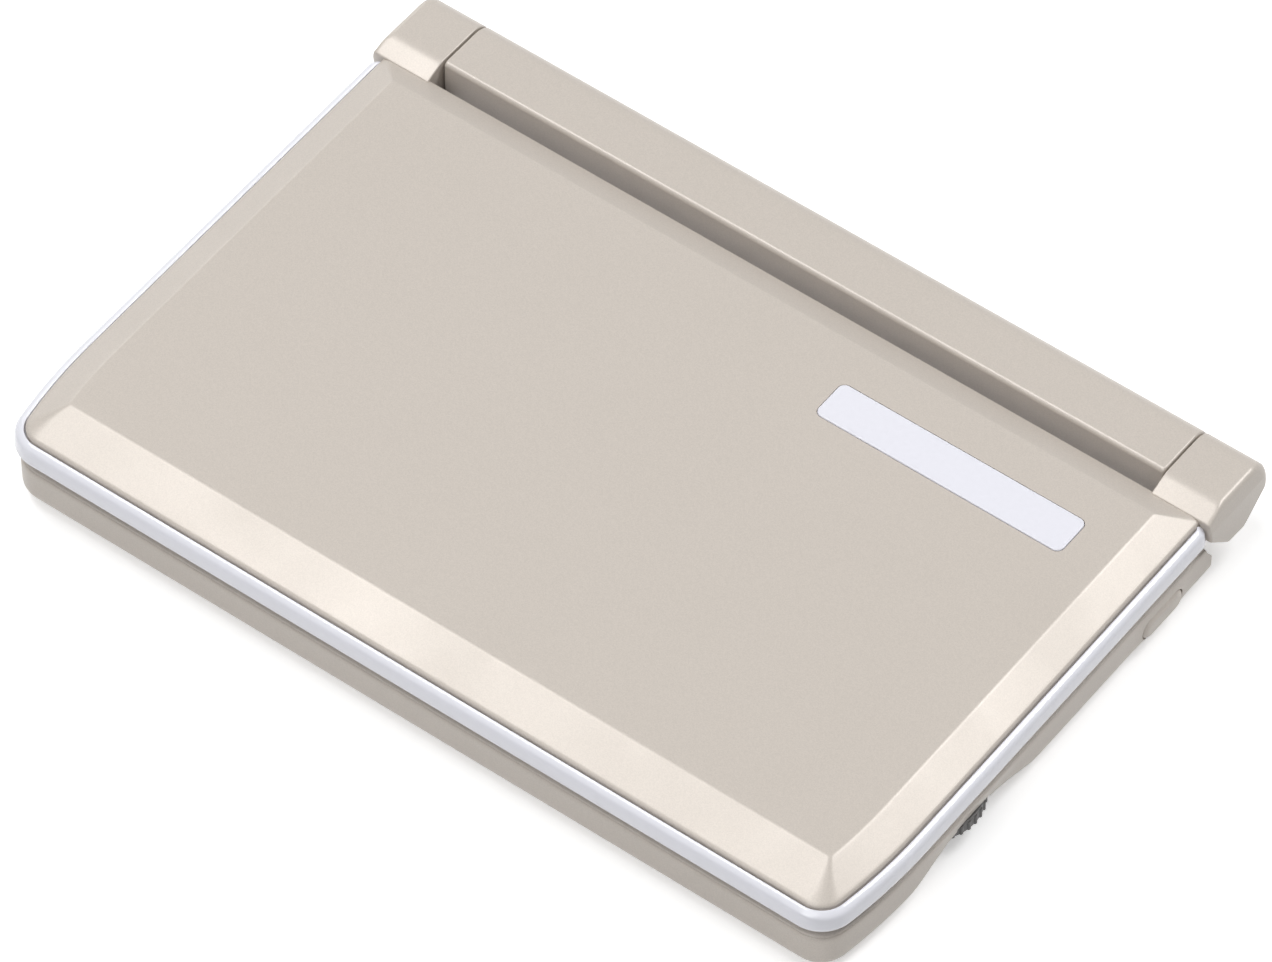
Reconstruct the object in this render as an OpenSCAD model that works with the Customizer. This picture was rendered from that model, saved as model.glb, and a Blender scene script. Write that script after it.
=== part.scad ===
// Pocket electronic dictionary: a clamshell with a bevelled metallic lid, hinge ears, a keyboard
// deck, a volume dial in a side scoop and a pen stored along the rear of the base.
// X runs to the right, Y to the hinge, Z up. The origin is under the middle of the closed object.

/* [Overall] */
// Width over the hinge ears
overall_w = 148; // [138:1:158]
// Depth from the front of the trim to the back of the hinge bar
overall_d = 102; // [96:1:112]
// Height of the resting feet under the case
foot_h = 0.8; // [0.6:0.1:1.2]
// Height from the case bottom to the rim of the lid cover
rim_h = 12.9; // [12.6:0.1:14]

/* [Outline] */
// Step from the side of the hinge ear in to the side of the trim
ear_step = 0.3; // [0:0.1:0.6]
// Radius of the front corners of the trim
corner_r = 6.4; // [5.6:0.1:7]
// Radius of the slight inward curve of the sides near the front
side_r = 75; // [60:1:90]
// Length over which the sides curve in
side_len = 20.5; // [16:0.5:24]

/* [Lid] */
// Rise of the flat panel above the rim
panel_rise = 2.3; // [1.8:0.1:2.8]
// Width of the bevel at the sides
bevel_side = 5; // [4:0.5:7]
// Width of the bevel at the front
bevel_front = 6.8; // [5:0.1:9]
// Width of the bevel at the rear
bevel_rear = 5; // [4:0.5:7]
// Wall of the lid cover
cover_wall = 1.2; // [1:0.1:1.3]
// Height of the upright edge of the cover
cover_edge_h = 1.3; // [1.2:0.1:1.5]
// Width of the white trim that shows round the cover
trim_w = 1.7; // [1.5:0.1:2]
// Drop from the rim to the underside of the trim
trim_drop = 3.1; // [3:0.1:3.3]
// Groove between the cover and the trim
trim_gap = 0.2; // [0.1:0.05:0.3]
// Width of the frame under the trim and cover edge
frame_w = 3.5; // [3.2:0.1:4.5]
// Length of the blank inlay on the lid
badge_w = 42.3; // [30:0.5:50]
// Width of the blank inlay on the lid
badge_d = 7.1; // [5:0.1:9]

/* [Display] */
// Width of the display opening
screen_w = 112; // [96:1:118]
// Depth of the display opening
screen_d = 62; // [50:1:66]
// Thickness of the display bezel
bezel_t = 1.2; // [1:0.1:1.2]
// Thickness of the clear display window
window_t = 0.8; // [0.6:0.1:0.8]
// Thickness of the display panel
lcd_t = 1.6; // [1.2:0.1:1.7]

/* [Hinge] */
// Distance from the rear edge of the cover to the back of the hinge bar
hinge_reach = 13.7; // [13.7:0.1:14.5]
// Distance from the rear edge of the cover to the hinge axis
axis_back = 7.6; // [7.6:0.05:7.8]
// Height of the hinge axis under the rim
axis_drop = 3.7; // [3.6:0.05:3.8]
// Height of the bar and ears above the rim
bar_rise = 1.7; // [1.4:0.1:1.8]
// Width of one hinge ear
ear_w = 10.25; // [9:0.25:12]
// Open gap between the lid and the front of the bar
trench_w = 2.6; // [2.6:0.1:3]
// Gap between an ear and the end of the bar
ear_gap = 0.3; // [0.2:0.05:0.5]
// Radius of the hinge shafts
shaft_r = 2; // [1.6:0.1:2.2]
// Radial running clearance of the hinge shafts
shaft_clear = 0.06; // [0.03:0.01:0.09]
// Wall of the hinge barrels
barrel_wall = 1.55; // [1.2:0.05:1.6]

/* [Base] */
// Step from the trim in to the side of the base
base_step = 0.7; // [0.5:0.1:1]
// Wall of the case
case_wall = 1.6; // [1.4:0.1:1.8]
// Thickness of the case floor
floor_t = 1.4; // [1.2:0.1:1.5]
// Thickness of the keyboard deck
deck_t = 1.4; // [1.2:0.1:1.5]
// Height of the parting line above the case bottom
parting_h = 6.7; // [6.6:0.1:6.9]
// Gap between the closed lid and the base
lid_gap = 0.5; // [0.4:0.1:0.6]
// Depth of the deck below its outer lip
deck_sink = 0.7; // [0.6:0.1:0.8]
// Width of the lip round the deck
lip_w = 2.1; // [1.8:0.1:3]

/* [Keys] */
// Spacing of the letter keys along a row
key_pitch_x = 11.2; // [10.6:0.1:11.4]
// Spacing of the rows of letter keys
key_pitch_y = 10; // [9.2:0.1:10.2]
// Width of a letter key
key_w = 9.2; // [8:0.1:9.4]
// Depth of a letter key
key_d = 7.2; // [6.5:0.1:7.6]
// Corner radius of a key
key_r = 1.4; // [0.8:0.1:1.8]
// Height of the keys above the deck
key_proud = 0.7; // [0.5:0.1:0.8]
// Gap between a key and its opening
key_gap = 0.25; // [0.2:0.05:0.35]
// Travel of the keys
key_travel = 0.7; // [0.5:0.1:0.7]
// Radius of the cursor pad
pad_r = 9; // [8:0.5:9.5]

/* [Pen] */
// Length of the pen
pen_l = 86; // [76:1:92]
// Width of the pen barrel
pen_w = 6.4; // [5:0.1:7]
// Height of the pen barrel
pen_h = 3.2; // [2.8:0.1:3.4]
// Width of the pen cap that shows in the side
cap_w = 9.6; // [8.5:0.1:10]
// Height of the pen cap
cap_h = 3.6; // [3.4:0.1:3.8]
// How far the pen cap stands out of the side
cap_proud = 0.5; // [0.2:0.1:1]
// Gap round the pen
pen_gap = 0.3; // [0.2:0.05:0.3]

/* [Dial] */
// Radius of the volume dial
dial_r = 8; // [7:0.25:8.5]
// Thickness of the volume dial
dial_t = 2; // [1.6:0.1:2.2]
// Depth of the finger scoop at the underside of the dial
scoop_deep = 2.3; // [1.8:0.1:2.6]
// Length of the finger scoop
scoop_len = 23; // [20:0.5:26]
// How far the dial stands out of the side
dial_proud = 0.3; // [0:0.1:0.6]

/* [Batteries] */
// Radius of a battery cell
cell_r = 5.25; // [5:0.05:5.25]
// Length of a battery cell
cell_l = 44.5; // [42:0.5:46]

/* [Hidden] */

CHAMPAGNE = [0.80, 0.76, 0.71];
TRIM_WHITE = [0.95, 0.95, 0.97];
SILVER = [0.78, 0.78, 0.79];
DARK = [0.22, 0.22, 0.23];
STEEL = [0.66, 0.67, 0.69];
BOARD_GREEN = [0.10, 0.36, 0.22];
RUBBER = [0.14, 0.14, 0.15];
CELL_COLOUR = [0.35, 0.42, 0.50];

// Thickness of a layer that only marks an outline inside a hull
SLICE = 0.02;
// Extra length of a cut so that it passes a surface
PAST = 1;
ROUND_FN = 64;
HULL_FN = 32;
SIDE_STEPS = 5;
CORNER_STEPS = 7;

// Heights, from the surface that the feet stand on
bottom_z = foot_h;
floor_z = bottom_z + floor_t;
parting_z = bottom_z + parting_h;
rim_z = bottom_z + rim_h;
panel_z = rim_z + panel_rise;
trim_z = rim_z - trim_drop;
lip_z = trim_z - lid_gap;
deck_z = lip_z - deck_sink;
deck_under_z = deck_z - deck_t;
key_top_z = deck_z + key_proud;
cover_z = rim_z - cover_edge_h;
axis_z = rim_z - axis_drop;
bar_z = rim_z + bar_rise;

// Places along Y
rear_y = overall_d / 2;
front_y = -overall_d / 2;
cover_rear_y = rear_y - hinge_reach;
axis_y = cover_rear_y + axis_back;
bar_front_y = cover_rear_y + trench_w;

// Outline of the trim, which every shell follows at its own inset
trim_half_w = overall_w / 2 - ear_step;
side_cx = trim_half_w - side_r;
side_cy = front_y + side_len;
corner_cy = front_y + corner_r;
corner_cx = side_cx + sqrt(pow(side_r - corner_r, 2) - pow(side_len - corner_r, 2));
side_turn = asin((side_len - corner_r) / (side_r - corner_r));

function arc(cx, cy, r, from, to, steps) =
    [for (k = [0:steps]) let (a = from + (to - from) * k / steps) [cx + r * cos(a), cy + r * sin(a)]];
function right_edge(inset, rear) = concat(
    [[trim_half_w - inset, rear]],
    arc(side_cx, side_cy, side_r - inset, 0, -side_turn, SIDE_STEPS),
    arc(corner_cx, corner_cy, corner_r - inset, -side_turn, -90, CORNER_STEPS));
function mirrored(points) =
    [for (k = [len(points) - 1:-1:0]) [-points[k][0], points[k][1]]];
function outline(inset, rear) = concat(right_edge(inset, rear), mirrored(right_edge(inset, rear)));

// A flat slab of the outline between two heights
module slab(inset, rear, low, high) {
    translate([0, 0, low]) linear_extrude(high - low) polygon(outline(inset, rear));
}

// A rectangle with true round corners
module rounded_rect(w, d, r) {
    square([w - 2 * r, d], center = true);
    square([w, d - 2 * r], center = true);
    for (x = [-1, 1], y = [-1, 1])
        translate([x * (w / 2 - r), y * (d / 2 - r)]) circle(r, $fn = ROUND_FN);
}

// A box with true round corners, centred in X and Y
module rounded_box(w, d, r, low, high) {
    translate([0, 0, low]) linear_extrude(high - low) rounded_rect(w, d, r);
}

// A profile drawn in Y and Z, extruded along X
module along_x(from, to) {
    translate([from, 0, 0]) rotate([90, 0, 90]) linear_extrude(to - from) children();
}

// A rod along X
module rod(from, to, y, z, r) {
    translate([from, y, z]) rotate([0, 90, 0]) cylinder(h = to - from, r = r, $fn = ROUND_FN);
}

// Hinge
ear_in_x = overall_w / 2 - ear_w;
bar_half_w = ear_in_x - ear_gap;
barrel_r = shaft_r + shaft_clear + barrel_wall;
barrel_l = 8;
barrel_fit = 0.02;
ear_shaft_gap = 0.1;
shaft_in_x = bar_half_w - barrel_l + ear_gap;
shaft_out_x = ear_in_x + ear_w / 2;
swing_r = axis_back + 0.5;
bar_slope = 0.2;
bar_front_r = 0.4;
bar_rear_r = 3.6;
rear_arc_y = rear_y - bar_rear_r;
rear_arc_z = bar_z - bar_slope - bar_rear_r;
ear_round = 1.5;

// The outer side of an ear leans in above this height
ear_lean = 0.8;
ear_lean_z = axis_z + 1;

// The ear seen from the side: a convex front slope, a flat top, a round back and a keel below
ear_front_drop = 0.9;
ear_brow = [1.1, 1.05];
ear_keel = [[3.6, -0.8], [1, -3.6], [-0.6, -4.8], [-2, -4.8]];
ear_profile = concat(
    [[cover_rear_y, trim_z - ear_front_drop], [cover_rear_y, rim_z],
     [cover_rear_y + ear_brow[0], rim_z + ear_brow[1]], [bar_front_y, bar_z]],
    arc(rear_arc_y, rear_arc_z, bar_rear_r, 90, 0, SIDE_STEPS),
    [[rear_y, trim_z]],
    [for (point = ear_keel) [axis_y + point[0], axis_z + point[1]]]);

// The trim hangs below the frame as a narrow skirt round the front and the sides
skirt_drop = 0.7;
skirt_w = 1.1;

// Rounding of the white trim: its lower edge, then how far it comes in and drops below the rim
bead_low = 0.5;
bead_in = [0.35, 0.8];
bead_drop = [1.4, 0.6, 0.2];

// Bevelled panel of the lid
cover_half_w = trim_half_w - trim_w;
rim_round = 0.4;
rim_in = 0.3;
panel_inset = trim_w + bevel_side;
panel_front_y = front_y + trim_w + bevel_front;
panel_rear_y = cover_rear_y - bevel_rear;
function panel_edge(shrink) = concat(
    [[trim_half_w - panel_inset - shrink, panel_rear_y - shrink]],
    arc(side_cx, side_cy, side_r - panel_inset - shrink, 0,
        -asin((side_cy - panel_front_y - shrink) / (side_r - panel_inset - shrink)), SIDE_STEPS));
function panel_outline(shrink) = concat(panel_edge(shrink), mirrored(panel_edge(shrink)));

badge_in = 34.2;
badge_front = 15.1;
badge_x = trim_half_w - badge_in;
badge_y = cover_rear_y - badge_front;
badge_sink = 0.5;
badge_proud = 0.15;
badge_r = 1.3;

// Display, seen when the lid is open
bezel_z = trim_z + 0.2;
window_z = bezel_z + bezel_t;
lcd_z = window_z + window_t;
screen_y = (front_y + cover_rear_y) / 2;
window_margin = 2;
bezel_fit = 0.1;
frame_rear_w = 2;
bumper_r = 1.8;
bumper_h = bezel_z - deck_z - 0.3;
bumper_in = 8.4;
bumper_back = 8.2;
bumper_x = trim_half_w - bumper_in;
bumper_y = front_y + bumper_back;
lid_screw_r = 1.3;
lid_screw_in = 11.7;
lid_screw_x = trim_half_w - lid_screw_in;
lid_screw_h = 0.4;

// Base
base_inset = base_step;
cavity_inset = base_step + case_wall;
side_end_y = cover_rear_y + 1.7;
side_low_z = bottom_z + 1.9;
belly_in = [0.8, 2.6];
belly_h = 0.7;
top_rear_y = bar_front_y - 0.1;
shoulder_in = [0.9, 1.6];
shoulder_low = 0.2;
shoulder_drop = 0.8;
lip_inset = base_step + shoulder_in[1] + lip_w;
cavity_rear_gap = 7;
cavity_rear_y = axis_y - cavity_rear_gap;
rear_round = 2.5;
ear_room_front = 5;

// Battery bay
cell_lift = 6.1;
cell_z = bottom_z + cell_lift;
bay_half_w = cell_l + 2.5;
bay_clear = 0.2;
hatch_t = 0.75;
hatch_gap = 0.15;
hatch_half_w = bay_half_w - 1;
hatch_front_y = cavity_rear_y + 0.6;
hatch_wall_z = bottom_z + 4.2;

// Pen
pen_front = 10.7;
pen_y = cover_rear_y - pen_front;
pen_z = bottom_z + 3.2;
base_half_w = trim_half_w - base_step;
cap_l = 2.6;
cap_in_x = base_half_w - cap_l;
pen_tip_x = base_half_w + cap_proud - pen_l;
silo_wall = 1;
silo_roof = 0.4;

// Dial
dial_back = 33;
dial_y = front_y + dial_back;
dial_z = bottom_z + 2.2;
dial_x = base_half_w + dial_proud - dial_r;
dial_clear = 0.3;
dial_bore_r = 1.2;
dial_bore_fit = 0.05;
scoop_top_z = dial_z + dial_t + dial_clear;
scoop_lean = scoop_deep / (scoop_top_z - dial_z);
scoop_r = (pow(scoop_len / 2, 2) + pow(scoop_deep, 2)) / (2 * scoop_deep) - scoop_deep;
scoop_back_w = 5;
scoop_back_ease = 11;
scoop_back_l = scoop_len + scoop_back_ease;
knurl_count = 36;
knurl_r = 0.35;

// Keyboard
first_row_back = 31.5;
row_y = [for (row = [0:2]) front_y + first_row_back - row * key_pitch_y];
row_keys = [
    ["key_q", "key_w", "key_e", "key_r", "key_t", "key_y", "key_u", "key_i", "key_o", "key_p"],
    ["key_a", "key_s", "key_d", "key_f", "key_g", "key_h", "key_j", "key_k", "key_l"],
    ["key_z", "key_x", "key_c", "key_v", "key_b", "key_n", "key_m"]
];
function key_x(row, column) = (column - (len(row_keys[row]) - 1) / 2) * key_pitch_x;
letter_keys = [for (row = [0:2], column = [0:len(row_keys[row]) - 1])
    [row_keys[row][column], key_x(row, column), row_y[row], key_w, key_d]];
pad_in = 21.7;
pad_back = 55;
pad_x = trim_half_w - pad_in;
pad_y = front_y + pad_back;
power_in = 19.7;
power_front = 9.3;
power_x = power_in - trim_half_w;
power_y = cover_rear_y - power_front;
power_d = 5;
extra_keys = [
    ["key_back", -4.5 * key_pitch_x, row_y[2], key_w, key_d],
    ["key_enter", 4.5 * key_pitch_x, row_y[2], key_w, key_d],
    ["key_power", power_x, power_y, key_w, power_d]
];
all_keys = concat(letter_keys, extra_keys);
key_low_z = deck_under_z - 0.1;
plunger_r = 1.8;
dish_r = 30;
dish_deep = 0.25;
pad_dish = 0.5;
pad_button_r = 3.5;
pad_skirt = 2;

// Inner parts
board_lift = 4.4;
board_z = bottom_z + board_lift;
board_t = 0.8;
board_clear = 0.1;
dial_room = 1.2;
speaker_room = 0.8;
part_room = 0.4;
sheet_z = board_z + board_t;
sheet_t = 0.2;
dome_r = 2.8;
dome_h = 0.4;
plunger_z = sheet_z + sheet_t + dome_h + key_travel + 0.1;
touch_w = 76;
touch_d = 36;
touch_back = 59;
touch_y = front_y + touch_back;
touch_t = 0.6;
touch_border = 2;
touch_gap = 0.1;
sub_lcd_t = 0.8;
speaker_in = 19.7;
speaker_back = 57;
speaker_x = speaker_in - trim_half_w;
speaker_y = front_y + speaker_back;
speaker_r = 9;
speaker_h = 2.6;
grille_slots = 7;
grille_pitch = 2.2;
grille_slot_w = 1;
grille_slot_l = 12;
jack_back = 31;
jack_lift = 4.2;
jack_y = front_y + jack_back;
jack_z = bottom_z + jack_lift;
jack_r = 2.4;
jack_body_r = 2.7;
jack_bore_r = 1.8;
jack_l = 13;
jack_depth = 12;
jack_fit = 0.05;
card_front = 22;
card_y = cover_rear_y - card_front;
card_w = 24.4;
card_h = 2.2;
card_deep = 22;
card_wall = 0.3;
card_z = floor_z + 0.1;
foot_r = 3.5;
foot_in = 15.7;
foot_back = 11;
foot_front = 5.5;
foot_x = trim_half_w - foot_in;
foot_front_y = front_y + foot_back;
foot_rear_y = cover_rear_y - foot_front;
screw_in = 7.7;
screw_back = 14;
screw_front = 3.4;
screw_x = trim_half_w - screw_in;
screw_front_y = front_y + screw_back;
screw_rear_y = cover_rear_y - screw_front;
screw_head_r = 1.8;
screw_head_h = 0.7;
screw_shank_r = 0.9;
screw_l = 5.6;
screw_fit = 0.1;
boss_r = 2.6;
boss_h = 3.4;
post_r = 2;
post_gap = 0.1;
pilot_r = 0.8;

// Lid

module lid_cover() color(CHAMPAGNE) difference() {
    hull() {
        slab(trim_w, cover_rear_y, cover_z, rim_z - rim_round);
        slab(trim_w + rim_in, cover_rear_y - rim_in, rim_z - SLICE, rim_z);
        translate([0, 0, panel_z - SLICE]) linear_extrude(SLICE) polygon(panel_outline(0));
    }
    hull() {
        slab(trim_w + cover_wall, cover_rear_y - cover_wall, cover_z - PAST, rim_z - cover_wall);
        translate([0, 0, panel_z - cover_wall - SLICE]) linear_extrude(SLICE)
            polygon(panel_outline(cover_wall));
    }
    translate([badge_x, badge_y, 0])
        rounded_box(badge_w, badge_d, badge_r, panel_z - badge_sink, panel_z + PAST);
}

module lid_frame() color(TRIM_WHITE) difference() {
    hull() {
        slab(bead_low, cover_rear_y, trim_z - skirt_drop, trim_z);
        slab(0, cover_rear_y, trim_z - skirt_drop + bead_low, rim_z - bead_drop[0]);
        slab(bead_in[0], cover_rear_y - bead_in[0], rim_z - bead_drop[1], rim_z - bead_drop[1] + SLICE);
        slab(bead_in[1], cover_rear_y - bead_in[1], rim_z - bead_drop[2] - SLICE, rim_z - bead_drop[2]);
    }
    slab(skirt_w, cover_rear_y + PAST, trim_z - skirt_drop - PAST, trim_z);
    slab(frame_w, cover_rear_y - frame_rear_w, trim_z - PAST, rim_z);
    slab(trim_w - trim_gap, cover_rear_y + PAST, cover_z, rim_z);
}

// One ear: side 1 is the right one, side -1 the left one
module hinge_ear(side) {
    mirror([side < 0 ? 1 : 0, 0, 0]) difference() {
        hull() {
            along_x(ear_in_x, overall_w / 2 - ear_round) polygon(ear_profile);
            along_x(ear_in_x, overall_w / 2 - ear_lean)
                offset(delta = -ear_lean / 2) polygon(ear_profile);
            along_x(ear_in_x, overall_w / 2) intersection() {
                offset(delta = -ear_lean) polygon(ear_profile);
                square([rear_y, ear_lean_z]);
            }
        }
        rod(ear_in_x - PAST, shaft_out_x + ear_shaft_gap, axis_y, axis_z, shaft_r + barrel_fit);
    }
}

module hinge_ear_left() color(CHAMPAGNE) hinge_ear(-1);
module hinge_ear_right() color(CHAMPAGNE) hinge_ear(1);

module nameplate() color(TRIM_WHITE) translate([badge_x, badge_y, 0])
    rounded_box(badge_w - 2 * bezel_fit, badge_d - 2 * bezel_fit, badge_r - bezel_fit,
        panel_z - badge_sink, panel_z + badge_proud);

module display_bezel() color(SILVER) difference() {
    slab(frame_w + bezel_fit, cover_rear_y - frame_rear_w - bezel_fit, bezel_z, window_z);
    translate([0, screen_y, 0]) rounded_box(screen_w, screen_d, 1.5, bezel_z - PAST, window_z + PAST);
    for (x = [-lid_screw_x, lid_screw_x]) translate([x, bumper_y, bezel_z - PAST])
        cylinder(h = PAST + lid_screw_h, r = lid_screw_r + 0.1, $fn = ROUND_FN);
}

module display_window() color(DARK) translate([0, screen_y, 0])
    rounded_box(screen_w + 2 * window_margin, screen_d + 2 * window_margin, 1.5, window_z, lcd_z);

module lcd_panel() color(STEEL) translate([0, screen_y, 0])
    rounded_box(screen_w + 2 * window_margin, screen_d + 2 * window_margin, 1, lcd_z, lcd_z + lcd_t);

module lid_bumpers() color(RUBBER) for (x = [-bumper_x, bumper_x])
    translate([x, bumper_y, bezel_z - bumper_h]) cylinder(h = bumper_h, r = bumper_r, $fn = ROUND_FN);

module lid_screws() color(STEEL) for (x = [-lid_screw_x, lid_screw_x])
    translate([x, bumper_y, bezel_z]) cylinder(h = lid_screw_h, r = lid_screw_r, $fn = ROUND_FN);

module hinge_shafts() color(STEEL) {
    rod(shaft_in_x, shaft_out_x, axis_y, axis_z, shaft_r);
    rod(-shaft_out_x, -shaft_in_x, axis_y, axis_z, shaft_r);
}

// Base

// The room that the ears sweep beside the bar
module ear_sweep() {
    for (side = [0, 1]) mirror([side, 0, 0])
        rod(bar_half_w, overall_w, axis_y, axis_z, swing_r);
    for (side = [0, 1]) mirror([side, 0, 0]) translate([bar_half_w, axis_y - ear_room_front, -PAST])
        cube([overall_w, overall_d, rim_z + 2 * PAST]);
}

module hinge_barrel_seats() {
    rod(bar_half_w - barrel_l, overall_w / 2, axis_y, axis_z, barrel_r + barrel_fit);
    rod(-overall_w / 2, barrel_l - bar_half_w, axis_y, axis_z, barrel_r + barrel_fit);
}

module cell_bore() rod(-bay_half_w, bay_half_w, axis_y, cell_z, cell_r + bay_clear);

// A pill-shaped prism along X, the form of the pen and its silo
module pill(from, to, w, h, fn = ROUND_FN) {
    along_x(from, to) translate([pen_y, pen_z]) {
        square([w - h, h], center = true);
        for (y = [-1, 1]) translate([y * (w - h) / 2, 0]) circle(h / 2, $fn = fn);
    }
}

// A scoop that starts under the dial slot and leans in towards the bottom of the case
module finger_scoop() {
    cut_h = scoop_top_z + PAST;
    translate([base_half_w + scoop_r, dial_y, -PAST])
        cylinder(h = cut_h, r1 = scoop_r + cut_h * scoop_lean, r2 = scoop_r, $fn = 2 * ROUND_FN);
}

module screw_places() {
    for (x = [-screw_x, screw_x], y = [screw_front_y, screw_rear_y]) translate([x, y, bottom_z])
        children();
}

module hatch_profile(grow) {
    inner = rear_round - hatch_t - grow;
    polygon(concat(
        [[hatch_front_y - grow, bottom_z - grow], [rear_y - rear_round, bottom_z - grow]],
        arc(rear_y - rear_round, bottom_z + rear_round, rear_round + grow, -90, 0, SIDE_STEPS),
        [[rear_y + grow, hatch_wall_z + grow], [rear_y - hatch_t - grow, hatch_wall_z + grow]],
        arc(rear_y - rear_round, bottom_z + rear_round, inner, 0, -90, SIDE_STEPS),
        [[hatch_front_y - grow, bottom_z + hatch_t + grow]]));
}

module base_bottom() color(CHAMPAGNE) difference() {
    union() {
        difference() {
            hull() {
                slab(base_inset, side_end_y, side_low_z, parting_z);
                slab(base_inset + belly_in[0], side_end_y, bottom_z + belly_h, side_low_z);
                slab(base_inset + belly_in[1], side_end_y, bottom_z, parting_z);
            }
            slab(cavity_inset, cavity_rear_y, floor_z, parting_z + PAST);
        }
        along_x(-bar_half_w, bar_half_w) difference() {
            translate([cavity_rear_y, bottom_z])
                square([rear_y - cavity_rear_y, parting_z - bottom_z]);
            translate([rear_y - rear_round, bottom_z]) difference() {
                square([rear_round + PAST, rear_round]);
                translate([0, rear_round]) circle(rear_round, $fn = ROUND_FN);
            }
        }
        intersection() {
            translate([pen_tip_x - silo_wall - pen_gap, pen_y - cap_w / 2, floor_z])
                cube([overall_w, cap_w, pen_z + pen_h / 2 + pen_gap + silo_roof - floor_z]);
            slab(cavity_inset, cavity_rear_y, floor_z, parting_z);
        }
        intersection() {
            translate([base_half_w - scoop_back_w, dial_y - scoop_back_l / 2, floor_z])
                cube([scoop_back_w, scoop_back_l, board_z - board_clear - floor_z]);
            slab(base_inset + case_wall / 2, cavity_rear_y, floor_z, parting_z);
        }
        screw_places() cylinder(h = boss_h, r = boss_r, $fn = ROUND_FN);
    }
    ear_sweep();
    hinge_barrel_seats();
    cell_bore();
    translate([-bay_half_w, axis_y - cell_r, bottom_z - PAST])
        cube([2 * bay_half_w, 2 * cell_r - 0.1, cell_z - bottom_z + PAST]);
    along_x(-hatch_half_w - hatch_gap, hatch_half_w + hatch_gap) hatch_profile(hatch_gap);
    pill(pen_tip_x - pen_gap, overall_w, pen_w + 2 * pen_gap, pen_h + 2 * pen_gap);
    pill(cap_in_x - pen_gap, overall_w, cap_w + 2 * pen_gap, cap_h + 2 * pen_gap);
    finger_scoop();
    translate([dial_x, dial_y, dial_z - dial_clear])
        cylinder(h = dial_t + 2 * dial_clear, r = dial_r + dial_clear, $fn = ROUND_FN);
    rod(-overall_w / 2, -cavity_inset, jack_y, jack_z, jack_r + jack_fit);
    translate([-overall_w / 2, card_y - card_w / 2, card_z + card_wall])
        cube([card_deep, card_w, card_h]);
    screw_places() {
        translate([0, 0, -PAST])
            cylinder(h = PAST + screw_head_h, r = screw_head_r + screw_fit, $fn = ROUND_FN);
        cylinder(h = boss_h + PAST, r = screw_shank_r + screw_fit, $fn = ROUND_FN);
    }
}

module key_shape(w, d, grow) rounded_rect(w + 2 * grow, d + 2 * grow, key_r + grow);

module base_top() color(SILVER) difference() {
    union() {
        difference() {
            hull() {
                slab(base_inset, top_rear_y, parting_z, parting_z + shoulder_low);
                slab(base_inset + shoulder_in[0], top_rear_y, parting_z, lip_z - shoulder_drop);
                slab(base_inset + shoulder_in[1], top_rear_y, parting_z, lip_z);
            }
            slab(cavity_inset, bar_front_y + PAST, parting_z - PAST, deck_under_z);
            slab(lip_inset, bar_front_y + PAST, deck_z, lip_z + PAST);
        }
        screw_places() translate([0, 0, boss_h + post_gap])
            cylinder(h = deck_under_z - bottom_z - boss_h - post_gap, r = post_r, $fn = ROUND_FN);
    }
    screw_places() cylinder(h = screw_l + post_gap, r = pilot_r, $fn = ROUND_FN);
    ear_sweep();
    cell_bore();
    for (key = all_keys) translate([key[1], key[2], parting_z])
        linear_extrude(lip_z) key_shape(key[3], key[4], key_gap);
    translate([pad_x, pad_y, parting_z]) cylinder(h = lip_z, r = pad_r + key_gap, $fn = ROUND_FN);
    translate([0, touch_y, 0]) {
        rounded_box(touch_w, touch_d, 1.5, deck_z - touch_t, lip_z);
        rounded_box(touch_w - 2 * touch_border, touch_d - 2 * touch_border, 1, parting_z, lip_z);
    }
    for (k = [0:grille_slots - 1])
        translate([speaker_x, speaker_y + (k - (grille_slots - 1) / 2) * grille_pitch, deck_z - deck_t / 2])
            cube([grille_slot_l, grille_slot_w, deck_t + PAST], center = true);
}

module hinge_bar() color(CHAMPAGNE) difference() {
    along_x(-bar_half_w, bar_half_w) polygon(concat(
        [[rear_y, parting_z], [bar_front_y, parting_z]],
        arc(bar_front_y + bar_front_r, bar_z - bar_front_r, bar_front_r, 180, 90, 3),
        arc(rear_arc_y, rear_arc_z, bar_rear_r, 90, 0, CORNER_STEPS)));
    hinge_barrel_seats();
    cell_bore();
}

module hinge_barrels() color(STEEL) difference() {
    union() {
        rod(bar_half_w - barrel_l, bar_half_w, axis_y, axis_z, barrel_r);
        rod(-bar_half_w, barrel_l - bar_half_w, axis_y, axis_z, barrel_r);
    }
    rod(-overall_w / 2, overall_w / 2, axis_y, axis_z, shaft_r + shaft_clear);
}

module cell() {
    nub_l = 1.2;
    nub_r = 1.9;
    rod(0, cell_l - nub_l, axis_y, cell_z, cell_r);
    rod(cell_l - nub_l, cell_l, axis_y, cell_z, nub_r);
}

module batteries() color(CELL_COLOUR) {
    translate([-cell_l, 0, 0]) cell();
    cell();
}

module battery_contacts() color(STEEL) {
    contact_t = 0.4;
    contact_w = 7;
    spring_r = 2.6;
    translate([cell_l + 0.1, axis_y - contact_w / 2, cell_z - contact_w / 2])
        cube([contact_t, contact_w, contact_w]);
    translate([-bay_half_w, axis_y - contact_w / 2, cell_z - contact_w / 2])
        cube([contact_t, contact_w, contact_w]);
    translate([-bay_half_w + contact_t, axis_y, cell_z]) rotate([0, 90, 0])
        cylinder(h = bay_half_w - cell_l - contact_t - 0.1, r1 = spring_r, r2 = spring_r / 2, $fn = ROUND_FN);
}

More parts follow.
